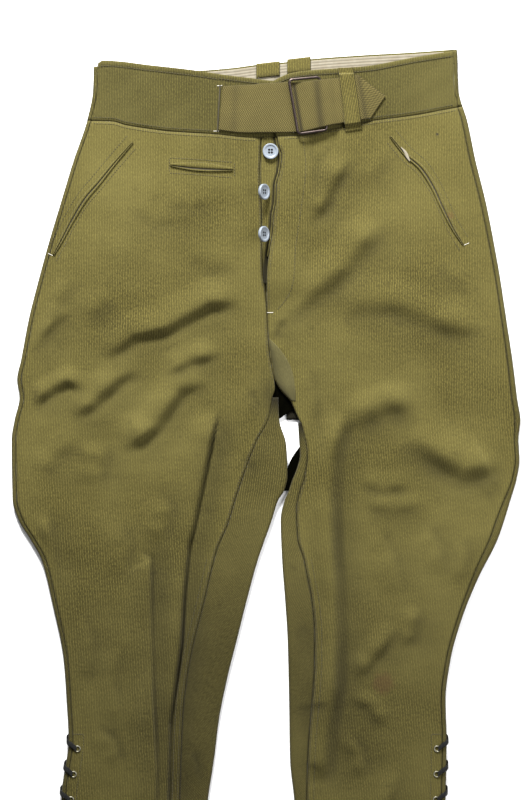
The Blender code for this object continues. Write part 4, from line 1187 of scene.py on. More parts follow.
@dataclass
class LegPanels:
    """The front and the back of one leg as fine laid cloth."""

    leg: Leg
    finishes: Finishes
    row_pitch: float = 0.0031
    front_columns: int = 120
    strip_columns: int = 4
    arc_columns: int = 9
    floor_columns: int = 8
    top_columns: int = 26
    seam_dip: float = 0.0007
    seam_width: float = 0.0012
    # seam_shade, edge_shade and crotch_shade: painted shade along the seams, on the edges that turn under and at
    # the crotch
    seam_shade: float = 0.42
    edge_shade: float = 0.55
    crotch_shade: float = 0.96
    crotch_reach: float = 0.024

    def rows(self) -> Grid:
        """The nominal depths of the fine rows."""
        return np.linspace(SEAM_ROW, HEM_DEPTH, int((HEM_DEPTH - SEAM_ROW) / self.row_pitch) + 1)

    def grain(self, x: Grid, depth: Grid) -> Grid:
        """A front's weave: its ribs run down the leg and lean with it below the knee.

        Args:
            x: The points' x.
            depth: The points' depth.

        Returns:
            Each point's place in the weave.
        """
        lean = -0.04 if self.leg.side < 0 else -0.065
        across = x - lean * np.clip(depth - 0.40, 0.0, None)
        return np.stack([across, depth], axis=-1)

    def build_front(self) -> bpy.types.Object:
        """Lay the front panel.

        Returns:
            The piece.
        """
        leg = self.leg
        shares = spaced_shares(self.front_columns, Crowding.SEAMS)
        xs, depths = [], []
        for row in self.rows():
            start = leg.edge(leg.front_edge, row)
            line = start + (leg.outseam(row) - start) * shares
            xs.append(line)
            depths.append(row_depth(row, line))
        x, depth = np.array(xs), np.array(depths)
        height, shade = RELIEF.read(leg, x, depth)
        from_start = np.abs(x - x[:, :1])
        from_end = np.abs(x - x[:, -1:])
        from_top = depth - depth[:1]
        seams = np.minimum(np.minimum(from_start, from_end), from_top)
        dip = np.exp(-((seams / self.seam_width) ** 2)) * np.where(from_top <= seams, 0.5, 1.0)
        ridge = np.exp(-(((seams - 2.4 * self.seam_width) / self.seam_width) ** 2))
        height = height - self.seam_dip * dip + 0.2 * self.seam_dip * ridge
        # Painted shade: along the seams, darker on the inseam, at the crotch's point, along the waist seam, and on
        # the calves where the light falls off
        inseam = np.exp(-((from_start / self.seam_width) ** 2)) * smoothstep(depth, 0.38, 0.46)
        shade = np.maximum(shade, np.maximum(self.seam_shade * dip, 0.72 * inseam))
        shade = np.maximum(shade, self.crotch_point_shade(x, depth))
        shade = np.maximum(shade, 0.40 * np.exp(-((from_top / 0.0022) ** 2)))
        height = height - 0.0003 * np.exp(-((from_top / 0.0020) ** 2))
        shade = shade + (1 - shade) * self.calf_shade(depth)
        points = place(x, depth, height)
        piece = cloth_sheet(f"cloth_front_{leg.name}", points, self.grain(x, depth), CLOTH,
                            self.finishes.cord, np.clip(shade, 0.0, 0.97))
        declare_sheet(points)
        return finish_piece(piece, "cord_cloth", f"front_{leg.name}")

    @staticmethod
    def calf_shade(depth: Grid | float) -> Grid:
        """How much painted shade darkens the calves below the thighs, where the light falls off."""
        return 0.24 * smoothstep(depth, 0.46, 0.68)

    def crotch_point_shade(self, x: Grid, depth: Grid) -> Grid:
        """Painted shade at the crotch's point."""
        crotch = np.hypot((x - 0.004) / 0.012, (depth - 0.380) / 0.024)
        return 0.5 * np.exp(-(crotch**2))

    def section(self, row: float) -> tuple[Grid, Grid, Grid, Grid, Grid]:
        """The back's section at a row.

        Args:
            row: The row's nominal depth.

        Returns:
            x, height, share of the back's seam line, painted shade, and distance along the section.
        """
        leg, side = self.leg, self.leg.side
        edge = leg.edge(leg.outer, row)
        seam = leg.outseam(row) + side * GAP
        half = BASE_TOP / 2
        turn = np.linspace(0.5 * math.pi, -0.5 * math.pi, self.arc_columns + 1)
        arc_x = edge - side * EDGE_ROUND * (1 - np.cos(turn))
        arc_z = half + half * np.sin(turn)
        strip = np.linspace(seam, arc_x[0], self.strip_columns + 1)[:-1]
        rest = self.floor_columns + self.arc_columns + self.top_columns
        centre = CENTRE_BACK_X + side * GAP / 2
        flat_x = np.linspace(arc_x[-1], centre, rest + 1)[1:]
        # Painted shade on each edge as it turns under
        arc_dark = self.edge_shade * (1 - np.clip(np.sin(turn), 0.0, 1.0))
        tail_x, tail_z = flat_x, np.zeros(rest)
        # Painted deep shade, near black, on the back where it lies flat under the fronts above the crotch
        tail_dark = np.full(rest, 0.97) * smoothstep(row, 0.30, 0.36)
        if row >= leg.wrap_row:
            inner_edge = float(along(leg.inner, row))
            back_x = inner_edge + side * EDGE_ROUND * (1 - np.cos(turn))
            seam_in = leg.edge(leg.front_edge, row) - side * GAP
            floor = np.linspace(arc_x[-1], back_x[0], self.floor_columns + 1)[1:]
            top = back_x[-1] + (seam_in - back_x[-1]) * np.linspace(0, 1, self.top_columns + 1)[1:]
            top_z, top_dark = RELIEF.read(leg, top, np.full(self.top_columns, row))
            seams = np.abs(top - seam_in)
            dip = np.exp(-((seams / self.seam_width) ** 2))
            top_z = top_z - self.seam_dip * dip
            top_dark = np.maximum(top_dark, self.seam_shade * dip)
            tail_x = np.concatenate([floor, back_x[1:], top])
            tail_z = np.concatenate([np.zeros(self.floor_columns), arc_z[::-1][1:], top_z])
            # Painted deep shade on the turned-up back just below the crotch
            near = self.crotch_shade * math.exp(-(((row - leg.wrap_row) / self.crotch_reach) ** 2))
            turned_dark = np.maximum(np.concatenate([arc_dark[::-1][1:], top_dark]), near)
            tail_dark = np.concatenate([np.zeros(self.floor_columns), turned_dark])
        x = np.concatenate([strip, arc_x, tail_x])
        z = np.concatenate([np.full(self.strip_columns, BASE_TOP), arc_z, tail_z])
        on_back = np.concatenate(
            [np.zeros(self.strip_columns), (1 - np.sin(turn)) / 2, np.ones(rest)])
        # Painted shade along the outseam
        strip_dark = self.seam_shade * np.exp(-(((strip - seam) / self.seam_width) ** 2))
        dark = np.concatenate([strip_dark, arc_dark, tail_dark])
        walked = np.concatenate([[0.0], np.cumsum(np.hypot(np.diff(x), np.diff(z)))])
        return x, z, on_back, dark, walked

    def build_back(self) -> bpy.types.Object:
        """Lay the back panel, flat on the floor and turned up round both edges.

        Returns:
            The piece.
        """
        leg = self.leg
        lines, weaves, shades = [], [], []
        bias = math.radians(24.0) * leg.side
        for row in self.rows():
            x, z, on_back, dark, walked = self.section(row)
            depth = row_depth(row, x, on_back)
            lines.append(place(x, depth, z))
            level = walked[-1] - walked
            lean = bias * float(1 - smoothstep(row, 0.50, 0.86))
            # Painted shade on the calves, where the light falls off
            dark = dark + (1 - dark) * self.calf_shade(row)
            weaves.append(np.stack(
                [level * math.cos(lean) + depth * math.sin(lean),
                 depth * math.cos(lean) - level * math.sin(lean)], axis=-1))
            shades.append(dark)
        points = np.array(lines)
        first_turned = int(np.searchsorted(self.rows(), leg.wrap_row))
        cut = (first_turned, self.strip_columns + self.arc_columns)
        piece = cloth_sheet(f"cloth_back_{leg.name}", points, np.array(weaves), CLOTH,
                            self.finishes.backing, np.clip(np.array(shades), 0.0, 0.97), cut)
        declare_sheet(points, cut)
        return finish_piece(piece, "cord_cloth", f"back_{leg.name}")


@dataclass
class Waistband:
    """The waistband in three pieces, its lining and the two tabs at the centre back."""

    finishes: Finishes
    right_end_x: float = 0.0215
    left_top_x: float = 0.0011
    left_seam_x: float = 0.0110
    lining_start: float = -0.170
    lining_end: float = 0.196
    lining_drop: float = 0.034
    lining_margin: float = 0.0022
    lining_lines: tuple[float, ...] = (0.0030, 0.0062, 0.0095)
    tab_half_width: float = 0.0130
    tab_length: float = 0.0160
    tab_spots: Table = ((0.0022, 0.0225), (0.0363, 0.0175))

    def front(self, leg: Leg, top_edge: Table, start_top: float, start_seam: float) -> bpy.types.Object:
        """Lay one front half of the band.

        Args:
            leg: The leg on its side.
            top_edge: The band's upper edge.
            start_top: x of its end at the fly, at the top.
            start_seam: x of that end at the waist seam.

        Returns:
            The piece.
        """
        down = np.linspace(0.0, 1.0, 41)
        across = spaced_shares(110, Crowding.SEAMS)
        top_depth = float(top_edge[0 if leg.side < 0 else -1][1])
        top_side = float(along(leg.outer, top_depth)) - leg.side * float(along(leg.inset, top_depth))
        seam_side = leg.outseam(SEAM_ROW)
        xs, depths = [], []
        for share in down:
            start = start_top + (start_seam - start_top) * share
            line = start + (top_side + (seam_side - top_side) * share - start) * across
            top = along(top_edge, line)
            xs.append(line)
            depths.append(top + (row_depth(SEAM_ROW, line) - 0.2 * GAP - top) * share)
        x, depth = np.array(xs), np.array(depths)
        height = RELIEF.top(leg, x, depth)
        from_top = depth - depth[:1]
        from_seam = depth[-1:] - depth
        roll = np.exp(-((from_top / 0.0016) ** 2)) + np.exp(-((from_seam / 0.0014) ** 2))
        stitched = np.exp(-(((from_top - 0.0062) / 0.0012) ** 2))
        height = height - 0.0006 * roll - 0.0002 * stitched + self.wrinkle(x, depth, from_top)
        # Painted shade along the waist seam and in the puckered stitched groove below the top edge
        shade = 0.20 * np.exp(-((from_seam / 0.0012) ** 2)) + 0.50 * stitched
        points = place(x, depth, height)
        weave = np.stack([x, depth], axis=-1)
        piece = cloth_sheet(f"cloth_waistband_front_{leg.name}", points, weave, CLOTH,
                            self.finishes.band, shade)
        declare_sheet(points)
        return finish_piece(piece, "cord_cloth", f"waistband_front_{leg.name}")

    @staticmethod
    def wrinkle(x: Grid, depth: Grid, from_top: Grid) -> Grid:
        """Slight puckers along the band, away from where the belt lies."""
        clear = smoothstep(np.abs(x - 0.040), 0.100, 0.130)
        puckers = np.sin(x * 330 + 2.0 * np.sin(x * 70)) * np.exp(-((from_top / 0.008) ** 2))
        waves = np.sin(x * 95 + depth * 60) * np.sin(depth * 130 + x * 25)
        return clear * (0.00016 * puckers + 0.00028 * waves)

    def back(self) -> bpy.types.Object:
        """Lay the band's back, turned up round both sides.

        Returns:
            The piece.
        """
        half = BASE_TOP / 2
        turn = np.linspace(0.5 * math.pi, -0.5 * math.pi, 10)
        lines, shades = [], []
        for share in np.linspace(0.0, 1.0, 24):
            sides = []
            for leg, edge in ((RIGHT, FRONT_TOP_RIGHT), (LEFT, FRONT_TOP_LEFT)):
                top_depth = float(edge[0 if leg.side < 0 else -1][1])
                low_depth = float(row_depth(SEAM_ROW, leg.edge(leg.outer, SEAM_ROW))) - 2 * GAP
                depth = top_depth + (low_depth - top_depth) * share
                outer = float(along(leg.outer, depth))
                seam_top = float(along(leg.outer, top_depth)) - leg.side * float(along(leg.inset, top_depth))
                seam = seam_top + (leg.outseam(SEAM_ROW) - seam_top) * share + leg.side * GAP
                arc_x = outer - leg.side * EDGE_ROUND * (1 - np.cos(turn))
                sides.append((seam, arc_x, depth))
            (seam_r, arc_r, depth_r), (seam_l, arc_l, depth_l) = sides
            floor = np.linspace(arc_r[-1], arc_l[-1], 60)[1:-1]
            x = np.concatenate([[seam_r], arc_r, floor, arc_l[::-1], [seam_l]])
            arc_z = half + half * np.sin(turn)
            z = np.concatenate([[BASE_TOP], arc_z, floor * 0, arc_z[::-1], [BASE_TOP]])
            down = (1 - np.sin(turn)) / 2
            mix = np.concatenate([[0.0], down, floor * 0 + 1, down[::-1], [0.0]])
            side_depth = np.where(x < 0, depth_r, depth_l)
            top = along(BACK_TOP, x)
            bottom = row_depth(SEAM_ROW, x, mix) - 2 * GAP
            depth = side_depth + (top + (bottom - top) * share - side_depth) * mix
            lines.append(place(x, depth, z))
            # Painted shade on the band's ends as they turn under
            turned = 0.55 * (1 - np.clip(np.sin(turn), 0.0, 1.0))
            shades.append(np.concatenate([[0.0], turned, floor * 0, turned[::-1], [0.0]]))
        points = np.array(lines)
        weave = np.stack([points[..., 0], -points[..., 1]], axis=-1)
        piece = cloth_sheet("cloth_waistband_back", points, weave, CLOTH, self.finishes.band,
                            np.array(shades))
        declare_sheet(points)
        return finish_piece(piece, "cord_cloth", "waistband_back")

    def lining(self) -> bpy.types.Object:
        """Lay the cream lining, with its sewn lines as fine grooves.

        Returns:
            The piece.
        """
        x = np.linspace(self.lining_start, self.lining_end, 181)[None, :]
        down = np.linspace(0.0, self.lining_drop, 61)[:, None]
        depth = along(BACK_TOP, x) + self.lining_margin + down
        grooves = sum(np.exp(-(((down - line) / 0.0006) ** 2)) for line in self.lining_lines)
        puckers = 0.00015 * np.sin(x * 420) * np.exp(-(((down - 0.006) / 0.006) ** 2))
        height = 0.0028 - 0.0003 * grooves + puckers
        points = place(x + 0 * down, depth, height)
        weave = np.stack([x + 0 * down, depth], axis=-1)
        # Darker along the sewn lines: their stitching, and painted shade in their grooves
        shade = np.clip(0.55 * grooves + 0 * x, 0.0, 0.8)
        piece = cloth_sheet("cloth_waistband_lining", points, weave, 0.0008, self.finishes.lining, shade)
        declare_sheet(points)
        return finish_piece(piece, "lining", "waistband_lining")

    def tab(self, index: int, spot: tuple[float, float]) -> bpy.types.Object:
        """Lay one tab on the lining.

        Args:
            index: Its number, from 1.
            spot: Its middle, x and depth.

        Returns:
            The piece.
        """
        u = np.linspace(-1.0, 1.0, 27)[None, :]
        v = np.linspace(-0.5, 0.5, 21)[:, None]
        x = spot[0] + self.tab_half_width * u + 0 * v
        depth = spot[1] + self.tab_length * v - 0.0015 - 0.0015 * u
        edge = np.maximum(np.abs(u), 2 * np.abs(v))
        height = 0.0043 - 0.0005 * smoothstep(edge, 0.8, 1.0)
        points = place(x, depth, height)
        weave = np.stack([x, depth], axis=-1)
        # Painted shade on the tab's lower half
        shade = 0.35 * smoothstep(v + 0 * u, 0.1, 0.5)
        piece = cloth_sheet(f"cloth_back_tab_{index}", points, weave, 0.0009, self.finishes.cord, shade)
        declare_sheet(points)
        return finish_piece(piece, "cord_cloth", f"back_tab_{index}")

    def build(self) -> None:
        """Build the band, its lining and its tabs."""
        self.back()
        self.lining()
        self.front(RIGHT, FRONT_TOP_RIGHT, self.right_end_x, self.right_end_x)
        self.front(LEFT, FRONT_TOP_LEFT, self.left_top_x, self.left_seam_x)
        for index, spot in enumerate(self.tab_spots):
            self.tab(index + 1, spot)


@dataclass
class Fly:
    """The button stand, the facing's edge and the four-hole buttons."""

    finishes: Finishes
    stand_inner_x: float = 0.0275
    stand_end: float = 0.258
    facing_end: float = 0.2275
    facing_lead: float = 0.0022
    facing_width: float = 0.012
    button_radius: float = 0.0086
    button_thick: float = 0.0030
    button_rim: float = 0.0018
    hole_radius: float = 0.0013
    hole_spread: float = 0.0021
    shank_depth: float = 0.0006

    def stand(self) -> bpy.types.Object:
        """Lay the strip that carries the buttons.

        Returns:
            The piece.
        """
        lines, shades = [], []
        for row in np.linspace(SEAM_ROW, self.stand_end, 60):
            x = np.linspace(RIGHT.edge(RIGHT_FRONT_EDGE, row) + 2 * GAP, self.stand_inner_x, 25)
            depth = row_depth(row, x)
            height = BASE_TOP - 0.0004 * np.exp(-(((x - x[0]) / 0.0014) ** 2))
            lines.append(place(x, depth, height))
            lap = LEFT.edge(LEFT_FRONT_EDGE, row)
            # Painted shadow that the lap casts on the stand, and painted shade along the stand's seam
            beside_lap = 0.94 * smoothstep(x, lap - 0.0058, lap - 0.0036)
            shades.append(beside_lap + 0.4 * np.exp(-(((x - x[0]) / 0.001) ** 2)))
        points = np.array(lines)
        weave = np.stack([points[..., 0], -points[..., 1]], axis=-1)
        piece = cloth_sheet("cloth_fly_stand", points, weave, CLOTH, self.finishes.cord,
                            np.clip(np.array(shades), 0.0, 0.9))
        declare_sheet(points)
        return finish_piece(piece, "cord_cloth", "fly_button_stand")

    def facing(self) -> bpy.types.Object:
        """Lay the facing, whose edge shows beside the lap.

        Returns:
            The piece.
        """
        lines, shades = [], []
        for row in np.linspace(SEAM_ROW, self.facing_end, 60):
            lead = LEFT.edge(LEFT_FRONT_EDGE, row) - self.facing_lead
            x = lead + self.facing_width * np.linspace(0.0, 1.0, 15)
            depth = row_depth(row, x) + 0.0006 * float(row == SEAM_ROW)
            roll = np.exp(-(((x - lead) / 0.0010) ** 2))
            lines.append(place(x, depth, 0.0073 - 0.0003 * roll))
            # Painted shadow under the lap, leaving the facing's rolled edge lit
            shades.append(0.93 * smoothstep(x - lead, 0.0009, 0.0016))
        points = np.array(lines)
        weave = np.stack([points[..., 0], -points[..., 1]], axis=-1)
        piece = cloth_sheet("cloth_fly_facing", points, weave, 0.0009, self.finishes.cord, np.array(shades))
        declare_sheet(points)
        return finish_piece(piece, "cord_cloth", "fly_facing")

    def select_ring(self, piece: bpy.types.Object, reach: float) -> None:
        """Select the upward faces of a button that lie within a reach of its middle.

        Args:
            piece: The button, at the origin.
            reach: The greatest distance of a face's middle.
        """
        bpy.ops.object.mode_set(mode="OBJECT")
        for polygon in piece.data.polygons:
            near = math.hypot(polygon.center.x, polygon.center.y) < reach
            polygon.select = near and polygon.normal.z > 0.9
        bpy.ops.object.mode_set(mode="EDIT")

    def button(self, index: int, spot: ButtonSpot) -> bpy.types.Object:
        """Turn a dished button with four holes, and thread it.

        Args:
            index: Its number, from 1.
            spot: Where it lies.

        Returns:
            The piece.
        """
        r, half = self.button_radius, self.button_thick / 2
        deselect_all()
        bpy.ops.mesh.primitive_cylinder_add(vertices=56, radius=r, depth=2 * half)
        piece = bpy.context.object
        piece.name = f"fly_button_{index}"
        bpy.ops.object.mode_set(mode="EDIT")
        bpy.ops.mesh.select_mode(type="FACE")
        self.select_ring(piece, 0.001)
        bpy.ops.mesh.inset(thickness=self.button_rim, depth=0.0)
        bpy.ops.mesh.inset(thickness=0.0009, depth=-0.0008)
        bpy.ops.mesh.select_all(action="DESELECT")
        bpy.ops.object.mode_set(mode="OBJECT")
        bevel = piece.modifiers.new("rim", "BEVEL")
        bevel.width = 0.00045
        bevel.segments = 3
        bevel.limit_method = "ANGLE"
        bevel.angle_limit = math.radians(25)
        apply_modifiers(piece)
        drills = []
        for k in range(4):
            angle = math.pi / 4 + k * math.pi / 2
            deselect_all()
            bpy.ops.mesh.primitive_cylinder_add(
                vertices=16, radius=self.hole_radius, depth=4 * half,
                location=(self.hole_spread * math.cos(angle), self.hole_spread * math.sin(angle), 0.0))
            drills.append(bpy.context.object)
        for drill in drills:
            cut = piece.modifiers.new("hole", "BOOLEAN")
            cut.object = drill
        apply_modifiers(piece)
        for drill in drills:
            bpy.data.objects.remove(drill)
        deselect_all()
        bpy.context.view_layer.objects.active = piece
        piece.select_set(True)
        bpy.ops.object.shade_smooth_by_angle(angle=math.radians(35))
        tilt = math.radians(spot.turn)
        drop = (r - 0.0004) * math.sin(tilt) + 0.7 * half * math.cos(tilt)
        seat = BASE_TOP + GAP + max(drop, half)
        piece.location = place(spot.x, spot.depth, seat)
        piece.rotation_euler = (0.0, tilt, 0.0)
        settle(piece)
        piece.data.materials.clear()
        piece.data.materials.append(self.finishes.button)
        self.shank(index, place(spot.x, spot.depth, seat), tilt)
        return finish_piece(piece, "button", f"button_{index}")

    def shank(self, index: int, where: Grid, tilt: float) -> bpy.types.Object:
        """Lay a dark disc under a button's holes, which stands for its thread and for the shade in the holes.

        Args:
            index: The button's number.
            where: The button's middle.
            tilt: The button's turn.

        Returns:
            The piece.
        """
        deselect_all()
        bpy.ops.mesh.primitive_cylinder_add(
            vertices=24, radius=self.hole_spread + self.hole_radius + 0.0004, depth=self.shank_depth)
        piece = bpy.context.object
        piece.name = f"button_thread_{index}"
        piece.location = where
        piece.rotation_euler = (0.0, tilt, 0.0)
        settle(piece)
        piece.data.materials.append(self.finishes.lace)
        return finish_piece(piece, "button")

    def build(self) -> None:
        """Build the stand, the facing and the buttons."""
        self.stand()
        self.facing()
        for index, spot in enumerate(BUTTON_SPOTS):
            self.button(index + 1, spot)


@dataclass(frozen=True)
class Station:
    """A place along a strap: its upper and lower edge, and the height of its underside."""

    upper_x: float
    upper_depth: float
    lower_x: float
    lower_depth: float
    height: float


@dataclass
class Belt:
    """The web belt, the strap that holds its buckle, the wire buckle and the belt loop."""

    finishes: Finishes
    webbing_thick: float = 0.0015
    loop_thick: float = 0.0010
    bar_radius: float = 0.0015
    corner_radius: float = 0.0045
    belt: tuple[Station, ...] = (
        Station(-0.0476, 0.0396, -0.0522, 0.0880, 0.0063), Station(-0.0286, 0.0385, -0.0330, 0.0908, 0.0063),
        Station(-0.0154, 0.0380, -0.0176, 0.0913, 0.0067), Station(-0.0055, 0.0371, -0.0044, 0.0913, 0.0094),
        Station(0.0099, 0.0363, 0.0154, 0.0913, 0.0094), Station(0.0220, 0.0355, 0.0286, 0.0911, 0.0094),
        Station(0.0319, 0.0362, 0.0396, 0.0905, 0.0095), Station(0.0440, 0.0352, 0.0506, 0.0880, 0.0112),
        Station(0.0550, 0.0339, 0.0616, 0.0854, 0.0123), Station(0.0660, 0.0325, 0.0726, 0.0829, 0.0119),
        Station(0.0748, 0.0314, 0.0814, 0.0810, 0.0083), Station(0.0836, 0.0301, 0.0891, 0.0795, 0.0083),
        Station(0.0946, 0.0285, 0.1001, 0.0778, 0.0083), Station(0.1012, 0.0275, 0.1089, 0.0763, 0.0076),
        Station(0.1144, 0.0381, 0.1150, 0.0754, 0.0064), Station(0.1254, 0.0462, 0.1243, 0.0611, 0.0063),
        Station(0.1309, 0.0502, 0.1309, 0.0517, 0.0063),
    )
    keeper: tuple[Station, ...] = (
        Station(0.0545, 0.0365, 0.0600, 0.0830, 0.0064), Station(0.0704, 0.0345, 0.0770, 0.0800, 0.0064),
        Station(0.0950, 0.0320, 0.0995, 0.0755, 0.0064),
    )
    loop: tuple[Station, ...] = (
        Station(0.0957, 0.0190, 0.0792, 0.0195, 0.0063), Station(0.0965, 0.0245, 0.0799, 0.0250, 0.0063),
        Station(0.0970, 0.0268, 0.0804, 0.0278, 0.0101), Station(0.1012, 0.0534, 0.0836, 0.0550, 0.0101),
        Station(0.1043, 0.0790, 0.0862, 0.0815, 0.0101), Station(0.1050, 0.0825, 0.0866, 0.0850, 0.0063),
        Station(0.1058, 0.0868, 0.0871, 0.0895, 0.0063),
    )
    buckle_corners: tuple[tuple[float, float, float], ...] = (
        (0.0250, 0.0336, 0.0131), (0.0590, 0.0300, 0.0102), (0.0668, 0.0882, 0.0102),
        (0.0352, 0.0930, 0.0131),
    )

    @staticmethod
    def strap_grid(stations: Sequence[Station], thick: float, fine: int, columns: int) -> tuple[Grid, Grid]:
        """Points along a strap through its stations, and their weave.

        Args:
            stations: The strap's stations.
            thick: Its thickness.
            fine: How many intervals along it.
            columns: How many intervals across it.

        Returns:
            The outer face's points and each one's place in the weave.
        """
        keys = np.arange(len(stations))
        travel = np.linspace(0, len(stations) - 1, fine + 1)
        upper_x = np.interp(travel, keys, [s.upper_x for s in stations])
        upper_d = np.interp(travel, keys, [s.upper_depth for s in stations])
        lower_x = np.interp(travel, keys, [s.lower_x for s in stations])
        lower_d = np.interp(travel, keys, [s.lower_depth for s in stations])
        low = along([(float(k), s.height) for k, s in zip(keys, stations)], travel)
        share = np.linspace(0.0, 1.0, columns + 1)[None, :]
        x = upper_x[:, None] + (lower_x - upper_x)[:, None] * share
        depth = upper_d[:, None] + (lower_d - upper_d)[:, None] * share
        crown = 0.00025 * (1 - np.abs(2 * share - 1) ** 6)
        points = place(x, depth, low[:, None] + thick - 0.00025 + crown)
        middle = points[:, columns // 2]
        walked = np.concatenate([[0.0], np.cumsum(np.linalg.norm(np.diff(middle, axis=0), axis=1))])
        across = share * np.hypot(lower_x - upper_x, lower_d - upper_d)[:, None]
        weave = np.stack([walked[:, None] + 0 * share, across], axis=-1)
        return points, weave

    def build_strap(self) -> bpy.types.Object:
        """Lay the belt from its slit to its pointed end.

        Returns:
            The piece.
        """
        points, weave = self.strap_grid(self.belt, self.webbing_thick, 240, 40)
        x = points[..., 0]
        depth = CENTRE_DEPTH - points[..., 1]
        # Painted shade: in the belt's fold and hollow, where it runs over the buckle's bar, past the loop, and
        # along its edges and pointed end
        fold = np.exp(-(((x - 0.0555 - 0.1 * (depth - 0.035)) / 0.0042) ** 2))
        hollow = np.exp(-(((x + 0.0330 + 0.05 * (depth - 0.035)) / 0.0045) ** 2))
        under_bar = np.exp(-(((x - 0.0300 - 0.17 * (depth - 0.035)) / 0.0022) ** 2))
        past_loop = np.exp(-(((x - 0.1030 - 0.17 * (depth - 0.035)) / 0.0028) ** 2))
        across = np.linspace(-1.0, 1.0, points.shape[1])[None, :]
        rim = 0.55 * smoothstep(np.abs(across), 0.955, 1.0)
        tip = np.hypot(points[:, -1, 0] - points[:, 0, 0], points[:, -1, 1] - points[:, 0, 1])
        rim = np.where(tip[:, None] < 0.042, 0.55 * smoothstep(np.abs(across) * tip[:, None] / 2,
                       tip[:, None] / 2 - 0.0012, tip[:, None] / 2), rim)
        shade = 0.50 * fold + 0.22 * hollow + 0.80 * under_bar + 0.40 * past_loop
        shade = np.clip(np.maximum(shade, rim), 0.0, 0.9)
        points[..., 2] -= 0.0004 * fold + 0.0003 * hollow
        piece = cloth_sheet("web_belt", points, weave, self.webbing_thick - 0.0003,
                            self.finishes.webbing, shade)
        declare_sheet(points)
        return finish_piece(piece, "webbing", "belt_strap")

    def build_keeper(self) -> bpy.types.Object:
        """Lay the short strap under the belt's end, which holds the buckle.

        Returns:
            The piece.
        """
        points, weave = self.strap_grid(self.keeper, self.webbing_thick, 60, 20)
        piece = cloth_sheet("buckle_strap", points, weave, self.webbing_thick - 0.0003,
                            self.finishes.webbing)
        declare_sheet(points)
        return finish_piece(piece, "webbing", "belt_buckle_strap")

    def build_loop(self) -> bpy.types.Object:
        """Lay the belt loop over the belt, with its feet on the band.

        Returns:
            The piece.
        """
        points, weave = self.strap_grid(self.loop, self.loop_thick, 140, 18)
        share = np.linspace(-1.0, 1.0, 19)[None, :]
        # Painted shade on the loop's edges, with a faint dark line a little inside each
        shade = 0.30 * np.exp(-(((np.abs(share) - 0.74) / 0.06) ** 2)) + 0 * points[..., 0]
        shade = np.maximum(shade, 0.6 * smoothstep(np.abs(share), 0.88, 1.0) + 0 * points[..., 0])
        piece = cloth_sheet("cloth_belt_loop", points, weave[..., ::-1], self.loop_thick - 0.0002,
                            self.finishes.cord, shade)
        declare_sheet(points)
        return finish_piece(piece, "cord_cloth", "belt_loop")

    def build_buckle(self) -> bpy.types.Object:
        """Bend the wire buckle, round bars with rounded corners.

        Returns:
            The piece.
        """
        corners = [place(*corner) for corner in self.buckle_corners]
        points = []
        for before, corner, after in zip(corners[-1:] + corners[:-1], corners, corners[1:] + corners[:1]):
            start = corner + (before - corner) / np.linalg.norm(before - corner) * self.corner_radius
            end = corner + (after - corner) / np.linalg.norm(after - corner) * self.corner_radius
            for t in np.linspace(0.0, 1.0, 9):
                points.append((1 - t) ** 2 * start + 2 * t * (1 - t) * corner + t * t * end)
        curve = bpy.data.curves.new("buckle_wire", "CURVE")
        curve.dimensions = "3D"
        curve.bevel_depth = self.bar_radius
        curve.bevel_resolution = 7
        spline = curve.splines.new("POLY")
        spline.points.add(len(points) - 1)
        for target, point in zip(spline.points, points):
            target.co = (*point, 1.0)
        spline.use_cyclic_u = True
        piece = bpy.data.objects.new("wire_buckle", curve)
        bpy.context.scene.collection.objects.link(piece)
        deselect_all()
        bpy.context.view_layer.objects.active = piece
        piece.select_set(True)
        bpy.ops.object.convert(target="MESH")
        piece = bpy.context.object
        piece.data.shade_smooth()
        piece.data.materials.clear()
        piece.data.materials.append(self.finishes.steel)
        return finish_piece(piece, "buckle", "buckle")

    def build_slit(self) -> bpy.types.Object:
        """Lay a dark strip of painted shade in the opening that the belt comes out of.

        Returns:
            The piece.
        """
        v = np.linspace(0.0, 1.0, 41)[:, None]
        u = np.linspace(0.0, 1.0, 5)[None, :]
        x = -0.0514 - 0.0028 * v + 0.0015 * u
        depth = 0.0384 + 0.0508 * v + 0 * u
        points = place(x, depth, RELIEF.top(RIGHT, x, depth) + 0.0006)
        weave = np.stack([x, depth], axis=-1)
        piece = cloth_sheet("belt_slit", points, weave, 0.0004, self.finishes.mouth)
        return finish_piece(piece, "cord_cloth")

    def build(self) -> None:
        """Build the belt and all that holds it."""
        self.build_strap()
        self.build_keeper()
        self.build_loop()
        self.build_buckle()
        self.build_slit()


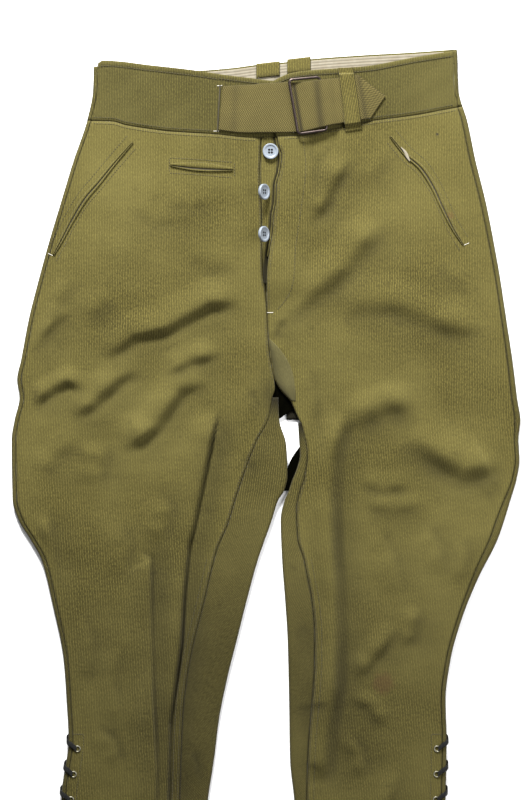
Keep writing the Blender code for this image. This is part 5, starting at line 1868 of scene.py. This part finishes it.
@dataclass
class Crotch:
    """The inside of the back between the legs and the tuck beside the hole, near black with painted deep shade, and
    the gusset.
    """

    finishes: Finishes
    inside_left: Table = ((0.3550, 0.0050), (0.3900, 0.0085), (0.4060, 0.0130))
    inside_right: Table = ((0.3550, 0.0260), (0.3900, 0.0350), (0.4060, 0.0370))
    inside_end: Table = ((0.0040, 0.4085), (0.0138, 0.4059), (0.0220, 0.4008), (0.0297, 0.3972), (0.0370, 0.4010))
    tuck_left: Table = ((0.4370, 0.0366), (0.4480, 0.0290), (0.4590, 0.0240), (0.4730, 0.0224), (0.4850, 0.0190))
    tuck_right: Table = ((0.4370, 0.0400), (0.4590, 0.0385), (0.4730, 0.0330), (0.4850, 0.0280))
    gusset_left: Table = ((0.3180, 0.0036), (0.3300, 0.0048), (0.3450, 0.0072), (0.3597, 0.0100), (0.3718, 0.0156),
                          (0.3762, 0.0190), (0.3862, 0.0282))
    gusset_right: Table = ((0.3180, 0.0046), (0.3300, 0.0160), (0.3450, 0.0255), (0.3597, 0.0304), (0.3718, 0.0320),
                           (0.3762, 0.0326), (0.3862, 0.0326))

    def inside(self) -> bpy.types.Object:
        """Lay the inside of the back, near black with painted deep shade.

        Returns:
            The piece.
        """
        down = np.linspace(0.0, 1.0, 31)[:, None]
        share = np.linspace(0.0, 1.0, 25)[None, :]
        start = self.inside_left[0][0]
        rough_depth = start + (self.inside_left[-1][0] - start) * down
        left, right = along(self.inside_left, rough_depth), along(self.inside_right, rough_depth)
        x = left + (right - left) * share
        depth = start + (along(self.inside_end, x) - start) * down
        points = place(x, depth, 0.0026 + 0.0004 * np.sin(x * 400))
        weave = np.stack([x, depth], axis=-1)
        # Painted deep shade
        shade = 0.93 + 0.05 * np.sin(x * 500 + depth * 300)
        piece = cloth_sheet("cloth_crotch_inside", points, weave, 0.0009, self.finishes.inside, shade)
        declare_sheet(points)
        return finish_piece(piece, "cord_cloth")

    def tuck(self) -> bpy.types.Object:
        """Lay the turned-in edge of the left back beside the hole, near black with painted deep shade.

        Returns:
            The piece.
        """
        down = np.linspace(0.0, 1.0, 25)[:, None]
        share = np.linspace(0.0, 1.0, 13)[None, :]
        depth = self.tuck_left[0][0] + (self.tuck_left[-1][0] - self.tuck_left[0][0]) * down
        left, right = along(self.tuck_left, depth), along(self.tuck_right, depth)
        x = left + (right - left) * share
        points = place(x, depth + 0 * share, 0.0026 + 0 * x)
        weave = np.stack([x, depth + 0 * share], axis=-1)
        piece = cloth_sheet("cloth_crotch_tuck", points, weave, 0.0012, self.finishes.inside, 0.95 + 0 * x)
        declare_sheet(points)
        return finish_piece(piece, "cord_cloth")

    def gusset(self) -> bpy.types.Object:
        """Lay the smooth gusset at the left front's inner edge.

        Returns:
            The piece.
        """
        down = np.linspace(0.0, 1.0, 61)[:, None]
        share = np.linspace(0.0, 1.0, 31)[None, :]
        depth = self.gusset_left[0][0] + (self.gusset_left[-1][0] - self.gusset_left[0][0]) * down
        left, right = along(self.gusset_left, depth), along(self.gusset_right, depth)
        x = left + (right - left) * share
        depth = depth + 0 * share
        edge = np.minimum(share, 1 - share)
        lift = 0.0003 + 0.0003 * smoothstep(edge, 0.0, 0.12)
        points = place(x, depth, RELIEF.top(LEFT, x, depth) + lift)
        weave = np.stack([x, depth], axis=-1)
        # Painted shade, darker towards the gusset's left edge and its lower end
        shade = 0.08 + 0.40 * (1 - smoothstep(share, 0.0, 0.55)) + 0.32 * smoothstep(down, 0.60, 1.0)
        piece = cloth_sheet("cloth_gusset", points, weave, 0.0005, self.finishes.gusset, shade + 0 * x)
        declare_sheet(points)
        return finish_piece(piece, "cord_cloth")

    def build(self) -> None:
        """Build all three."""
        self.inside()
        self.tuck()
        self.gusset()


@dataclass
class Pockets:
    """The slanting front pockets and the small watch pocket, with rolled welts and mouths that are dark strips of
    painted shade.
    """

    finishes: Finishes
    right_line: Table = (
        (-0.1500, 0.0985), (-0.1700, 0.1215), (-0.1885, 0.1440), (-0.2030, 0.1610),
        (-0.2165, 0.1830), (-0.2295, 0.2080), (-0.2375, 0.2230),
    )
    left_line: Table = (
        (0.1400, 0.0920), (0.1560, 0.1110), (0.1740, 0.1270), (0.1880, 0.1480),
        (0.1990, 0.1720), (0.2090, 0.1930), (0.2205, 0.2120),
    )
    watch_line: Table = (
        (-0.1050, 0.1200), (-0.0820, 0.1215), (-0.0600, 0.1230), (-0.0360, 0.1250),
    )
    slant_width: float = 0.0082
    watch_width: float = 0.0120
    tear_line: Table = ((0.1500, 0.1060), (0.1548, 0.1118), (0.1572, 0.1170), (0.1596, 0.1216))
    tear_width: float = 0.0034

    @staticmethod
    def strip(leg: Leg, line: Table, width: float, shares: Grid, lifts: Grid, fine: int = 90) -> Grid:
        """A strip beside a line on a front, narrower at its ends, on the front's own height.

        Args:
            leg: The leg that it lies on.
            line: The line, x and depth.
            width: The strip's width.
            shares: Places across it, from 0 to 1.
            lifts: The height above the front at each place.
            fine: How many intervals along it.

        Returns:
            The strip's points.
        """
        keys = np.arange(len(line), dtype=float)
        travel = np.linspace(0, len(line) - 1, fine + 1)
        path = np.stack(
            [along([(k, p[axis]) for k, p in zip(keys, line)], travel) for axis in (0, 1)], axis=1)
        heading = np.gradient(path, axis=0)
        heading /= np.hypot(heading[:, 0], heading[:, 1])[:, None]
        sideways = np.stack([-heading[:, 1], heading[:, 0]], axis=1)
        if sideways[:, 1].mean() < 0:
            sideways = -sideways
        narrowed = width * (0.3 + 0.7 * np.sin(math.pi * travel / travel[-1]))
        middle = 0.5 * (width - narrowed)
        reach = middle[:, None] + narrowed[:, None] * shares[None, :]
        spots = path[:, None, :] + sideways[:, None, :] * reach[..., None]
        height = RELIEF.top(leg, spots[..., 0], spots[..., 1]) + lifts[None, :]
        return place(spots[..., 0], spots[..., 1], height)

    def welt(self, name: str, leg: Leg, line: Table, width: float, lip: float) -> None:
        """Build one pocket's mouth and its two rolled lips.

        Args:
            name: The welt's node.
            leg: The leg that it lies on.
            line: The pocket's line.
            width: The welt's width.
            lip: The share of the width that the first lip takes.
        """
        shares = np.linspace(0.0, 1.0, 7)
        # The mouth is a dark strip of painted shade between the lips
        mouth = self.strip(leg, line, width, 0.08 + 0.84 * shares, np.full(7, 0.0005))
        weave = np.stack([mouth[..., 0], -mouth[..., 1]], axis=-1)
        piece = cloth_sheet(f"mouth_{name}", mouth, weave, 0.0003, self.finishes.mouth)
        declare_sheet(mouth)
        finish_piece(piece, "cord_cloth")
        turn = np.linspace(0.0, 1.0, 13)
        for index, (low, high) in enumerate(((0.08, lip), (lip + 0.12, 0.94))):
            swell = np.sqrt(np.clip(1 - (2 * turn - 1) ** 2, 0.0, 1.0))
            lifts = 0.0005 + 0.0011 * swell
            points = self.strip(leg, line, width, low + (high - low) * turn, lifts)
            weave = np.stack([points[..., 0], -points[..., 1]], axis=-1)
            # Painted shade where each lip rolls down at its sides
            shade = 0.5 * (1 - swell)[None, :] + 0 * points[..., 0]
            piece = cloth_sheet(f"lip_{index + 1}_{name}", points, weave, 0.0004, self.finishes.cord, shade)
            declare_sheet(points)
            finish_piece(piece, "cord_cloth", *([name] if index == 0 else []))

    def tear(self) -> bpy.types.Object:
        """Lay the pale pocketing that shows at the left pocket's torn edge.

        Returns:
            The piece.
        """
        shares = np.linspace(0.0, 1.0, 9)
        lifts = 0.0017 + 0.0004 * np.sin(math.pi * shares)
        points = self.strip(LEFT, self.tear_line, self.tear_width, shares, lifts, 40)
        weave = np.stack([points[..., 0], -points[..., 1]], axis=-1)
        piece = cloth_sheet("pocket_tear", points, weave, 0.0004, self.finishes.lining)
        return finish_piece(piece, "lining")

    def build(self) -> None:
        """Build the three pockets' mouths."""
        self.welt("slant_pocket_welt_right", RIGHT, self.right_line, self.slant_width, 0.50)
        self.welt("slant_pocket_welt_left", LEFT, self.left_line, self.slant_width, 0.50)
        self.tear()
        self.welt("watch_pocket_welt", RIGHT, self.watch_line, self.watch_width, 0.66)


@dataclass
class CalfLacing:
    """The flat black lace down the outer side of each calf, and its eyelets."""

    finishes: Finishes
    first_depth: float = 0.769
    pitch: float = 0.0280
    count: int = 7
    width: float = 0.0060
    thick: float = 0.0010
    inset: float = 0.0095
    rise: float = 0.0130
    lift: float = 0.0008
    edge_lift: float = 0.0004
    eyelet_radius: float = 0.0030
    eyelet_wire: float = 0.0007

    def lace(self, leg: Leg, index: int) -> bpy.types.Object:
        """Lay one stretch of lace from its eyelet over the leg's edge.

        Args:
            leg: The leg.
            index: Its number, from 0.

        Returns:
            The piece.
        """
        start = self.first_depth + index * self.pitch
        share = np.linspace(0.0, 1.0, 37)[:, None]
        across = np.linspace(-0.5, 0.5, 7)[None, :]
        depth = start - self.rise * share + self.width * across
        edge = along(leg.outer, depth)
        flat = np.clip(share / 0.34, 0.0, 1.0)
        angle = math.pi * (0.5 - 0.8 * np.clip((share - 0.34) / 0.66, 0.0, 1.0))
        clear = self.thick + self.lift + self.edge_lift * np.clip((share - 0.34) / 0.1, 0.0, 1.0)
        reach = (EDGE_ROUND + clear) * np.cos(angle)
        x = edge - leg.side * (self.inset + (EDGE_ROUND - self.inset) * flat) + leg.side * reach
        on_top = RELIEF.top(leg, x, depth) + self.thick + self.lift
        round_z = BASE_TOP / 2 + (BASE_TOP / 2 + clear) * np.sin(angle)
        crown = -0.0003 * np.abs(2 * across) ** 4
        height = np.where(share < 0.34, on_top, round_z) + crown
        points = place(x, depth, height)
        weave = np.stack([share * 0.022 + 0 * across, self.width * (across + 0.5) + 0 * share], axis=-1)
        piece = cloth_sheet(f"flat_lace_{leg.name}_{index + 1}", points, weave, 0.0007, self.finishes.lace)
        return finish_piece(piece, "lace", f"lace_{leg.name}_{index + 1}")

    def eyelets(self, leg: Leg) -> bpy.types.Object:
        """Set the rings at the laces' inner ends, joined into one piece.

        Args:
            leg: The leg.

        Returns:
            The piece.
        """
        rings = []
        for index in range(self.count):
            depth = self.first_depth + index * self.pitch
            x = float(along(leg.outer, depth)) - leg.side * (self.inset + 0.0012)
            height = float(RELIEF.top(leg, x, depth)) + 0.0004
            deselect_all()
            bpy.ops.mesh.primitive_torus_add(
                major_radius=self.eyelet_radius, minor_radius=self.eyelet_wire,
                major_segments=28, minor_segments=8, location=place(x, depth, height))
            rings.append(bpy.context.object)
        deselect_all()
        for ring in rings:
            ring.select_set(True)
        bpy.context.view_layer.objects.active = rings[0]
        bpy.ops.object.join()
        piece = bpy.context.object
        piece.name = f"eyelets_{leg.name}"
        settle(piece)
        piece.data.shade_smooth()
        piece.data.materials.clear()
        piece.data.materials.append(self.finishes.eyelet)
        return finish_piece(piece, "buckle")

    def build(self) -> None:
        """Lace both calves."""
        for leg in (RIGHT, LEFT):
            for index in range(self.count):
                self.lace(leg, index)
            self.eyelets(leg)


Line = Callable[[Grid], tuple[Grid, Grid]]


@dataclass
class Stitching:
    """Rows of small stitches on the seams, joined into one piece for each thread."""

    finishes: Finishes
    pitch: float = 0.0030
    length: float = 0.0022
    radius: float = 0.00040
    olive: list[Grid] = field(default_factory=list)
    pale: list[Grid] = field(default_factory=list)

    def row(self, path: Grid, store: list[Grid], pitch: float | None = None) -> None:
        """Add stitches along points of the frame.

        Args:
            path: The line's points.
            store: The thread's list.
            pitch: The spacing, if not the usual one.
        """
        lengths = np.linalg.norm(np.diff(path, axis=0), axis=1)
        walked = np.concatenate([[0.0], np.cumsum(lengths)])
        step = pitch or self.pitch
        for start in np.arange(step / 2, walked[-1] - step / 2, step):
            ends = [
                np.array([np.interp(s, walked, path[:, k]) for k in range(3)])
                for s in (start - self.length / 2, start + self.length / 2)
            ]
            store.append(np.array(ends))

    def on_leg(self, leg: Leg, xs: Grid, depths: Grid, lift: float = 0.00010) -> Grid:
        """Points just above a leg's cloth."""
        return place(xs, depths, RELIEF.top(leg, xs, depths) + lift)

    def seam_row(self, leg: Leg, table: Table, start: float, end: float, offset: float) -> None:
        """Add a row beside an edge that is given by depth.

        Args:
            leg: The leg that it lies on.
            table: The edge, depth and x.
            start: The depth where the row starts.
            end: The depth where it ends.
            offset: How far beside the edge, towards +x.
        """
        depths = np.linspace(start, end, max(int((end - start) / 0.004), 4))
        xs = along(table, depths) + offset
        self.row(self.on_leg(leg, xs, depths), self.olive)

    def line(self, leg: Leg, points: Table, store: list[Grid], pitch: float | None = None) -> None:
        """Add a row along a few points of a front, x and depth, on a smooth curve."""
        keys = np.arange(len(points), dtype=float)
        travel = np.linspace(0, len(points) - 1, 24 * len(points))
        xs = along([(k, p[0]) for k, p in zip(keys, points)], travel)
        depths = along([(k, p[1]) for k, p in zip(keys, points)], travel)
        self.row(self.on_leg(leg, xs, depths), store, pitch)

    def waist_rows(self) -> None:
        """Rows on the waistband and under the waist seam."""
        spans = (
            (RIGHT, FRONT_TOP_RIGHT, -0.182, -0.054, 0.0062), (RIGHT, FRONT_TOP_RIGHT, -0.052, 0.002, 0.0050),
            (LEFT, FRONT_TOP_LEFT, 0.004, 0.204, 0.0055), (RIGHT, FRONT_SEAM, -0.190, -0.010, 0.0034),
            (LEFT, FRONT_SEAM, 0.020, 0.210, 0.0034), (RIGHT, FRONT_SEAM, -0.190, -0.058, -0.0034),
            (LEFT, FRONT_SEAM, 0.108, 0.206, -0.0034),
        )
        for leg, table, start, end, offset in spans:
            xs = np.linspace(start, end, 80)
            depths = along(table, xs) + offset
            self.row(self.on_leg(leg, xs, depths, 0.0002), self.olive)

    def leg_rows(self) -> None:
        """Rows beside the inseams and the left outseam, and on the calves' vents."""
        self.seam_row(RIGHT, RIGHT_FRONT_EDGE, 0.400, 0.985, -0.0024)
        self.seam_row(RIGHT, RIGHT_FRONT_EDGE, 0.560, 0.985, -0.0078)
        self.seam_row(LEFT, LEFT_FRONT_EDGE, 0.470, 0.985, 0.0024)
        self.seam_row(LEFT, LEFT_FRONT_EDGE, 0.560, 0.985, 0.0078)
        self.seam_row(RIGHT, RIGHT_FRONT_EDGE, 0.292, 0.365, -0.0022)
        for leg in (RIGHT, LEFT):
            depths = np.linspace(0.753, 0.985, 60)
            xs = along(leg.outer, depths) - leg.side * 0.0170
            self.row(self.on_leg(leg, xs, depths), self.olive)
            edge = float(along(leg.outer, 0.753))
            xs = np.linspace(edge - leg.side * 0.0055, edge - leg.side * 0.0170, 10)
            self.row(self.on_leg(leg, xs, np.full(10, 0.753)), self.olive, 0.0022)
            seam = leg.edge(leg.front_edge, 0.974)
            xs = np.linspace(seam + leg.side * 0.002, leg.outseam(0.974) - leg.side * 0.002, 40)
            self.row(self.on_leg(leg, xs, np.full(40, 0.974)), self.olive)

    def front_rows(self) -> None:
        """Rows of the fly and the pockets, with their pale bar tacks."""
        self.line(LEFT, (
            (0.0413, 0.1000), (0.0438, 0.1306), (0.0385, 0.1749), (0.0349, 0.2000), (0.0323, 0.2189),
            (0.0311, 0.2442), (0.0286, 0.2607), (0.0209, 0.2758), (0.0110, 0.2871)), self.olive)
        self.seam_row(RIGHT, RIGHT_FRONT_EDGE, 0.104, 0.262, -0.0016)
        self.seam_row(LEFT, LEFT_FRONT_EDGE, 0.104, 0.286, 0.0030)
        for leg, table, side in ((RIGHT, Pockets.right_line, -1.0), (LEFT, Pockets.left_line, 1.0)):
            for beside in (-0.0052, 0.0118):
                points = [(x + side * 0.55 * beside * -1, d + 0.83 * beside) for x, d in table]
                self.line(leg, points, self.olive)
        self.line(RIGHT, ((-0.1062, 0.1186), (-0.0820, 0.1198), (-0.0350, 0.1236)), self.olive)
        self.line(RIGHT, ((-0.1062, 0.1352), (-0.0820, 0.1366), (-0.0350, 0.1404)), self.olive)
        self.line(RIGHT, ((-0.1064, 0.1190), (-0.1062, 0.1350)), self.olive)
        self.line(RIGHT, ((-0.0348, 0.1240), (-0.0346, 0.1402)), self.olive)
        bars = (
            (LEFT, (0.0010, 0.2888), (0.0082, 0.2888)), (RIGHT, (-0.0540, 0.0392), (-0.0480, 0.0388)),
            (RIGHT, (-0.0580, 0.0890), (-0.0515, 0.0890)),
            (RIGHT, (-0.2400, 0.2235), (-0.2345, 0.2262)), (LEFT, (0.2180, 0.2145), (0.2240, 0.2120)),
            (LEFT, (0.0165, 0.3700), (0.0212, 0.3775)), (LEFT, (0.0212, 0.3775), (0.0290, 0.3852)),
        )
        for leg, start, end in bars:
            self.line(leg, (start, end), self.pale, 0.0011)

    def join(self, name: str, store: list[Grid], finish: bpy.types.Material) -> bpy.types.Object:
        """Join a thread's stitches into one piece.

        Args:
            name: The piece's name.
            store: Its stitches, each by its two ends.
            finish: Its material.

        Returns:
            The piece.
        """
        deselect_all()
        bpy.ops.mesh.primitive_uv_sphere_add(segments=6, ring_count=4, radius=1.0)
        pattern = bpy.context.object
        shape = np.array([vertex.co[:] for vertex in pattern.data.vertices])
        faces = [tuple(polygon.vertices) for polygon in pattern.data.polygons]
        bpy.data.objects.remove(pattern)
        vertices, polygons = [], []
        for start, end in store:
            heading = (end - start) / np.linalg.norm(end - start)
            beside = np.cross((0.0, 0.0, 1.0), heading)
            beside /= np.linalg.norm(beside)
            above = np.cross(heading, beside)
            half = 0.5 * np.linalg.norm(end - start)
            base = len(vertices) * len(shape)
            vertices.append(
                (start + end) / 2 + shape[:, :1] * self.radius * beside
                + shape[:, 1:2] * self.radius * above + shape[:, 2:] * half * heading)
            polygons.extend(tuple(base + k for k in face) for face in faces)
        mesh = bpy.data.meshes.new(name)
        mesh.from_pydata(np.concatenate(vertices).tolist(), [], polygons)
        made = bmesh.new()
        made.from_mesh(mesh)
        bmesh.ops.recalc_face_normals(made, faces=made.faces)
        made.to_mesh(mesh)
        made.free()
        mesh.shade_smooth()
        mesh.materials.append(finish)
        piece = bpy.data.objects.new(name, mesh)
        bpy.context.scene.collection.objects.link(piece)
        return finish_piece(piece, "cord_cloth")

    def build(self) -> None:
        """Sew every row and join them."""
        self.waist_rows()
        self.leg_rows()
        self.front_rows()
        self.join("stitching_olive", self.olive, self.finishes.thread)
        self.join("stitching_pale", self.pale, self.finishes.pale_thread)


@dataclass
class Studio:
    """The pale floor, the soft light from the upper left and the camera straight above."""

    frame_height: float = 0.880
    frame_middle_depth: float = 0.385
    cloth_height: float = 0.008
    lens: float = 100.0
    sensor: float = 36.0
    floor_size: float = 16.0

    def camera(self) -> None:
        """Set the camera straight above the garment, framed as it was seen."""
        data = bpy.data.cameras.new("camera")
        data.lens = self.lens
        data.sensor_width = self.sensor
        distance = self.frame_height * self.lens / self.sensor
        camera = bpy.data.objects.new("camera", data)
        camera.location = place(0.0, self.frame_middle_depth, distance + self.cloth_height)
        bpy.context.scene.collection.objects.link(camera)
        bpy.context.scene.camera = camera

    def floor(self) -> None:
        """Lay the floor just under the garment."""
        deselect_all()
        bpy.ops.mesh.primitive_plane_add(size=self.floor_size, location=(0.0, 0.0, -0.0002))
        floor = bpy.context.object
        floor.name = "floor"
        settle(floor)
        finish = PlainFinish(
            "white_floor", (0.93, 0.93, 0.93, 1.0), (0.95, 0.95, 0.95, 1.0), 3.0, 0.9, 0.95).make()
        floor.data.materials.append(finish)

    def light(self, name: str, where: tuple[float, float, float], size: float, power: float) -> None:
        """Hang a square soft light that faces the garment.

        Args:
            name: Its name.
            where: Its place.
            size: Its side.
            power: Its power in watts.
        """
        data = bpy.data.lights.new(name, "AREA")
        data.size = size
        data.energy = power
        lamp = bpy.data.objects.new(name, data)
        lamp.location = where
        direction = np.array(where)
        flat = math.hypot(direction[0], direction[1])
        lamp.rotation_euler = (
            math.atan2(flat, direction[2]), 0.0, math.atan2(direction[1], direction[0]) + math.pi / 2)
        bpy.context.scene.collection.objects.link(lamp)

    def build(self) -> None:
        """Set up the floor, the lights, the world and the camera."""
        self.floor()
        self.light("key", (-0.40, 2.35, 1.08), 0.60, 265.0)
        self.light("fill", (1.45, 0.30, 1.20), 1.4, 44.0)
        world = bpy.data.worlds.new("studio")
        world.use_nodes = True
        world.node_tree.nodes["Background"].inputs["Color"].default_value = (1.0, 1.0, 1.0, 1.0)
        world.node_tree.nodes["Background"].inputs["Strength"].default_value = 0.30
        bpy.context.scene.world = world
        bpy.context.scene.view_settings.view_transform = "Standard"
        self.camera()


def corners(box: Sequence[Sequence[float]]) -> list[list[float]]:
    """A box's two corners as plain lists of numbers."""
    return [[float(value) for value in corner] for corner in box]


def main() -> None:
    """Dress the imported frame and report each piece."""
    logging.basicConfig(level=logging.INFO, format="%(name)s %(message)s")
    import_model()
    finishes = Finishes()
    for leg in (RIGHT, LEFT):
        panels = LegPanels(leg, finishes)
        panels.build_back()
        panels.build_front()
    Waistband(finishes).build()
    Fly(finishes).build()
    Belt(finishes).build()
    Crotch(finishes).build()
    Pockets(finishes).build()
    CalfLacing(finishes).build()
    Stitching(finishes).build()
    Studio().build()


if __name__ == "__main__":
    main()
